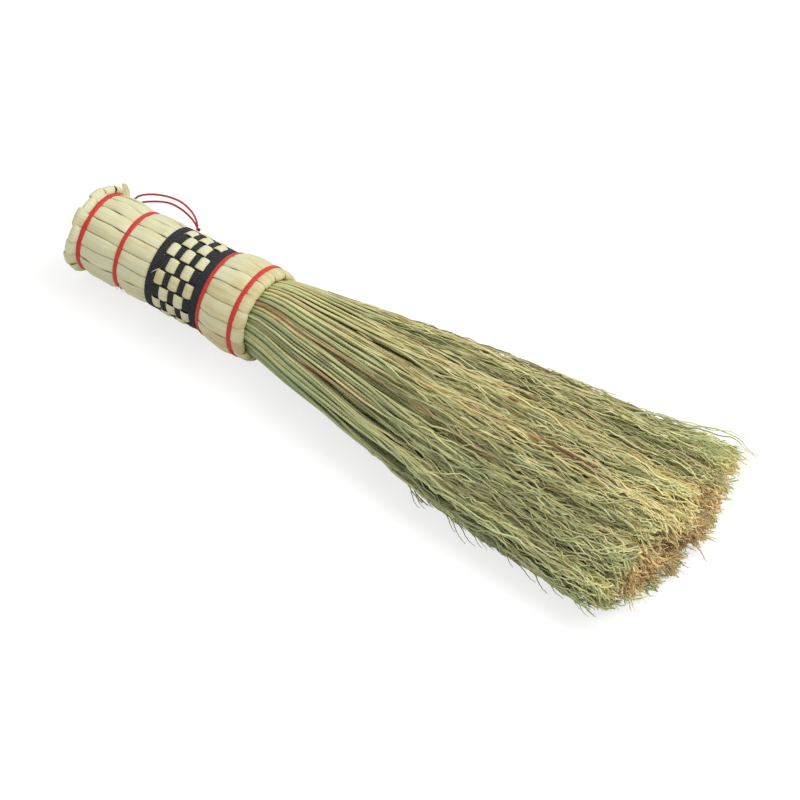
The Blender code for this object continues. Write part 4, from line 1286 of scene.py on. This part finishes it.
# Route from the knot and back to it: along the handle, outwards, and round towards the table
LOOP_ROUTE = (
    (-0.0007, 0.0011, -0.0007),
    (-0.0018, 0.0025, -0.0008),
    (-0.0055, 0.0051, -0.0008),
    (-0.0116, 0.0069, -0.0004),
    (-0.0179, 0.0069, 0.0008),
    (-0.0253, 0.0056, 0.0030),
    (-0.0325, 0.0032, 0.0060),
    (-0.0371, 0.0008, 0.0092),
    (-0.0400, -0.0022, 0.0133),
    (-0.0413, -0.0054, 0.0182),
    (-0.0416, -0.0080, 0.0234),
    (-0.0411, -0.0096, 0.0286),
    (-0.0391, -0.0101, 0.0319),
    (-0.0366, -0.0100, 0.0317),
    (-0.0352, -0.0094, 0.0283),
    (-0.0356, -0.0080, 0.0232),
    (-0.0364, -0.0058, 0.0178),
    (-0.0364, -0.0034, 0.0128),
    (-0.0342, -0.0008, 0.0089),
    (-0.0268, 0.0023, 0.0051),
    (-0.0194, 0.0044, 0.0027),
    (-0.0131, 0.0045, 0.0017),
    (-0.0073, 0.0034, 0.0012),
    (-0.0028, 0.0016, 0.0010),
    (-0.0012, 0.0006, 0.0007),
)

outwards, level = handle_axes(LOOP_ANGLE)
knot_centre = round_handle(LOOP_ANGLE, LOOP_HEIGHT, LOOP_PLACE)
route = knot_centre + np.array(LOOP_ROUTE) @ np.array(((1, 0, 0), outwards, -level))
line = smooth_way(route, len(route) * LOOP_FINENESS)
run = np.concatenate(((0,), np.cumsum(np.linalg.norm(np.diff(line, axis=0), axis=-1))))
even = np.linspace(0, run[-1], LOOP_POINTS)
line = np.stack([np.interp(even, run, line[:, axis]) for axis in range(3)], axis=-1)

loop_data = bpy.data.curves.new("hang_thread", "CURVE")
loop_data.dimensions = "3D"
loop_data.bevel_depth = LOOP_DIAMETER / 2
loop_data.bevel_resolution = LOOP_ROUNDNESS
loop_data.use_fill_caps = True
spline = loop_data.splines.new("POLY")
spline.points.add(LOOP_POINTS - 1)
for target, point in zip(spline.points, line):
    target.co = (*point, 1)
    target.radius = 1


def make_thread_material():
    """Waxed red thread: fine darker turns of its twist."""
    material, tree, shader = start_material("red_thread", 0.42, 0.5)
    place = add_node(tree, "ShaderNodeTexCoord").outputs["Object"]
    twist = add_noise(tree, add_stretch(tree, place, (2600, 1500, 1500)), 1.0, 2.0)
    finish_material(tree, shader, add_ramp(tree, twist, THREAD_COLOURS), twist, 0.0002)
    return material


loop_data.materials.append(make_thread_material())
loop = bpy.data.objects.new("hang_thread", loop_data)
bpy.context.scene.collection.objects.link(loop)
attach(loop, "loop")
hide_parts("hang_loop")

knot = knot_group(knot_centre, ((1, 0, 0), level, outwards), LOOP_KNOT_SIZE, LOOP_DIAMETER / 2)
piece = dress("thread_knot", [knot], red_material)
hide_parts("loop_knot")


# Loose straw: a curled sliver stands off the far side behind the first tie, the edge of a strip is torn
# near the second, and one stray fibre lies over the tape.

BLADE_CORNERS = 6
BLADE_THICKNESS = 0.00022
BLADE_FINENESS = 4
BLADE_POINT_SHARE = 0.2
BLADE_BLUNTNESS = 0.05
BLADE_TINT = (0.7, 0.12, 0.2, 1)
BLADE_GRAIN_LENGTH = 0.005
BLADE_GRAIN_RATE = 9000
SLIVER = {"width": 0.0024, "points": ((-55, 0.0172, 0.0085), (-52, 0.0186, 0.0074), (-49, 0.0202, 0.0064),
                                      (-46, 0.0214, 0.0052), (-44, 0.0219, 0.0042))}
SLIVER_FACING = (0.6, -0.7, 0.2)
STRAY_FIBRE = {"width": 0.0003, "points": ((57, 0.0184, 0.0425), (53, 0.0188, 0.0436), (50, 0.0187, 0.0446),
                                           (46, 0.0184, 0.0457))}
TORN_ANGLES = (124, 121, 126, 119, 127)
TORN_PLACES = (0.0188, 0.0205, 0.0221, 0.0262, 0.0279)
TORN_WIDTH = 0.0007
# Points of a torn fibre: degrees from its middle, height over the handle's axis, and place from its middle
TORN_LINE = ((-6, 0.0172, -0.0012), (0, 0.0181, 0), (5, 0.0187, 0.0013))


def blade_group(points, width, towards=None):
    """Group for dress: a thin pointed blade through (angle in degrees, height, place) points."""
    angle, height, place = np.array(points).T
    stations = len(points) * BLADE_FINENESS
    path = smooth_way(round_handle(np.radians(angle), height, place), stations)
    ahead = unit(np.gradient(path, axis=0))
    outwards = path - np.array((0, 0, AXIS_HEIGHT)) - path * np.array((1, 0, 0))
    side = unit(np.cross(ahead, outwards if towards is None else towards))
    up = np.cross(ahead, side)
    turn = np.arange(BLADE_CORNERS) / BLADE_CORNERS * math.tau
    share = np.linspace(0, 1, stations)
    fullness = np.clip(4 * share * (1 + BLADE_BLUNTNESS - share), 0, 1)
    half = width / 2 * (BLADE_POINT_SHARE + (1 - BLADE_POINT_SHARE) * fullness)
    sections = path[:, None] + side[:, None] * (half[:, None] * np.cos(turn))[..., None]
    sections = sections + up[:, None] * (BLADE_THICKNESS / 2 * np.sin(turn))[None, :, None]
    tint = np.tile(np.array(BLADE_TINT), (stations, 1, BLADE_CORNERS, 1))
    grain = np.stack(np.broadcast_arrays(half[:, None] * np.cos(turn), share[:, None] * BLADE_GRAIN_LENGTH,
                                         width * BLADE_GRAIN_RATE), axis=-1)
    return sections[:, None], tint, grain[:, None]


blades = [blade_group(SLIVER["points"], SLIVER["width"], SLIVER_FACING),
          blade_group(STRAY_FIBRE["points"], STRAY_FIBRE["width"])]
for angle, place in zip(TORN_ANGLES, TORN_PLACES):
    points = [(angle + turned, height, place + along) for turned, height, along in TORN_LINE]
    blades.append(blade_group(points, TORN_WIDTH))
dress("loose_straw", blades, straw_material)


# Table: the brush lies on its side on a plain white table. It catches the soft shadow of the brush and is
# no part of it.

TABLE_HALF_SIZE = 3.0
TABLE_COLOUR = (0.80, 0.80, 0.80, 1)
# The camera sees a darker table that glows, which keeps its white even and the shadow soft.
TABLE_SEEN_COLOUR = (0.34, 0.34, 0.34, 1)
TABLE_GLOW = 0.74

top = bmesh.new()
bmesh.ops.create_grid(top, x_segments=1, y_segments=1, size=TABLE_HALF_SIZE)
top_mesh = bpy.data.meshes.new("table")
top.to_mesh(top_mesh)
top.free()
table = bpy.data.objects.new("table", top_mesh)
bpy.context.scene.collection.objects.link(table)
table_material, tree, shader = start_material("white_table", 0.9, 0.0)
seen = add_node(tree, "ShaderNodeLightPath").outputs["Is Camera Ray"]
white = add_mix(tree, seen, TABLE_COLOUR, TABLE_SEEN_COLOUR)
tree.links.new(white, shader.inputs["Base Color"])
shader.inputs["Emission Color"].default_value = (1, 1, 1, 1)
tree.links.new(add_math(tree, "MULTIPLY", seen, TABLE_GLOW), shader.inputs["Emission Strength"])
top_mesh.materials.append(table_material)


# Light and camera: one wide soft lamp above the brush, an even white sky, and a long lens that
# looks down on the brush from the near side of its bristles, as the photograph does.

SKY_LIGHT = 0.60
LAMP_SIZE = 0.9
LAMP_POWER = 9
LAMP_PLACE = (0.42, 0.40, 1.00)

world = bpy.data.worlds.new("studio")
bpy.context.scene.world = world
world.use_nodes = True
tree = world.node_tree
background = tree.nodes["Background"]
background.inputs["Color"].default_value = (1, 1, 1, 1)
path = add_node(tree, "ShaderNodeLightPath").outputs
shown = add_math(tree, "MAXIMUM", path["Is Camera Ray"], path["Is Glossy Ray"])
shown = add_math(tree, "MAXIMUM", shown, path["Is Transmission Ray"])
tree.links.new(add_range(tree, shown, 0, 1, SKY_LIGHT, 1.0), background.inputs["Strength"])

lamp_data = bpy.data.lights.new("soft_lamp", "AREA")
lamp_data.shape = "SQUARE"
lamp_data.size = LAMP_SIZE
lamp_data.energy = LAMP_POWER
lamp = bpy.data.objects.new("soft_lamp", lamp_data)
lamp.location = LAMP_PLACE
lamp.rotation_euler = (Vector((0, 0, 0)) - lamp.location).to_track_quat("-Z", "Y").to_euler()
bpy.context.scene.collection.objects.link(lamp)

CAMERA_AZIMUTH = math.radians(33.11)
CAMERA_ELEVATION = math.radians(46.71)
CAMERA_ROLL = math.radians(1.98)
CAMERA_DISTANCE = 1.5
CAMERA_TARGET = Vector((0, 0, 0.02))
CAMERA_ASIDE = 0.00713
CAMERA_RISE = -0.00908
LENS = 165.5
SENSOR_WIDTH = 36

flat_part = math.cos(CAMERA_ELEVATION)
back = Vector((math.sin(CAMERA_AZIMUTH) * flat_part, -math.cos(CAMERA_AZIMUTH) * flat_part,
               math.sin(CAMERA_ELEVATION)))
aside = Vector((0, 0, 1)).cross(back).normalized()
rise = back.cross(aside)
right = aside * math.cos(CAMERA_ROLL) + rise * math.sin(CAMERA_ROLL)
above = back.cross(right)
camera_data = bpy.data.cameras.new("camera")
camera_data.lens = LENS
camera_data.sensor_width = SENSOR_WIDTH
camera = bpy.data.objects.new("camera", camera_data)
stand = CAMERA_TARGET + right * CAMERA_ASIDE + above * CAMERA_RISE + back * CAMERA_DISTANCE
camera.matrix_world = Matrix.Translation(stand) @ Matrix((right, above, back)).transposed().to_4x4()
bpy.context.scene.collection.objects.link(camera)
bpy.context.scene.camera = camera
bpy.context.scene.view_settings.view_transform = "Standard"
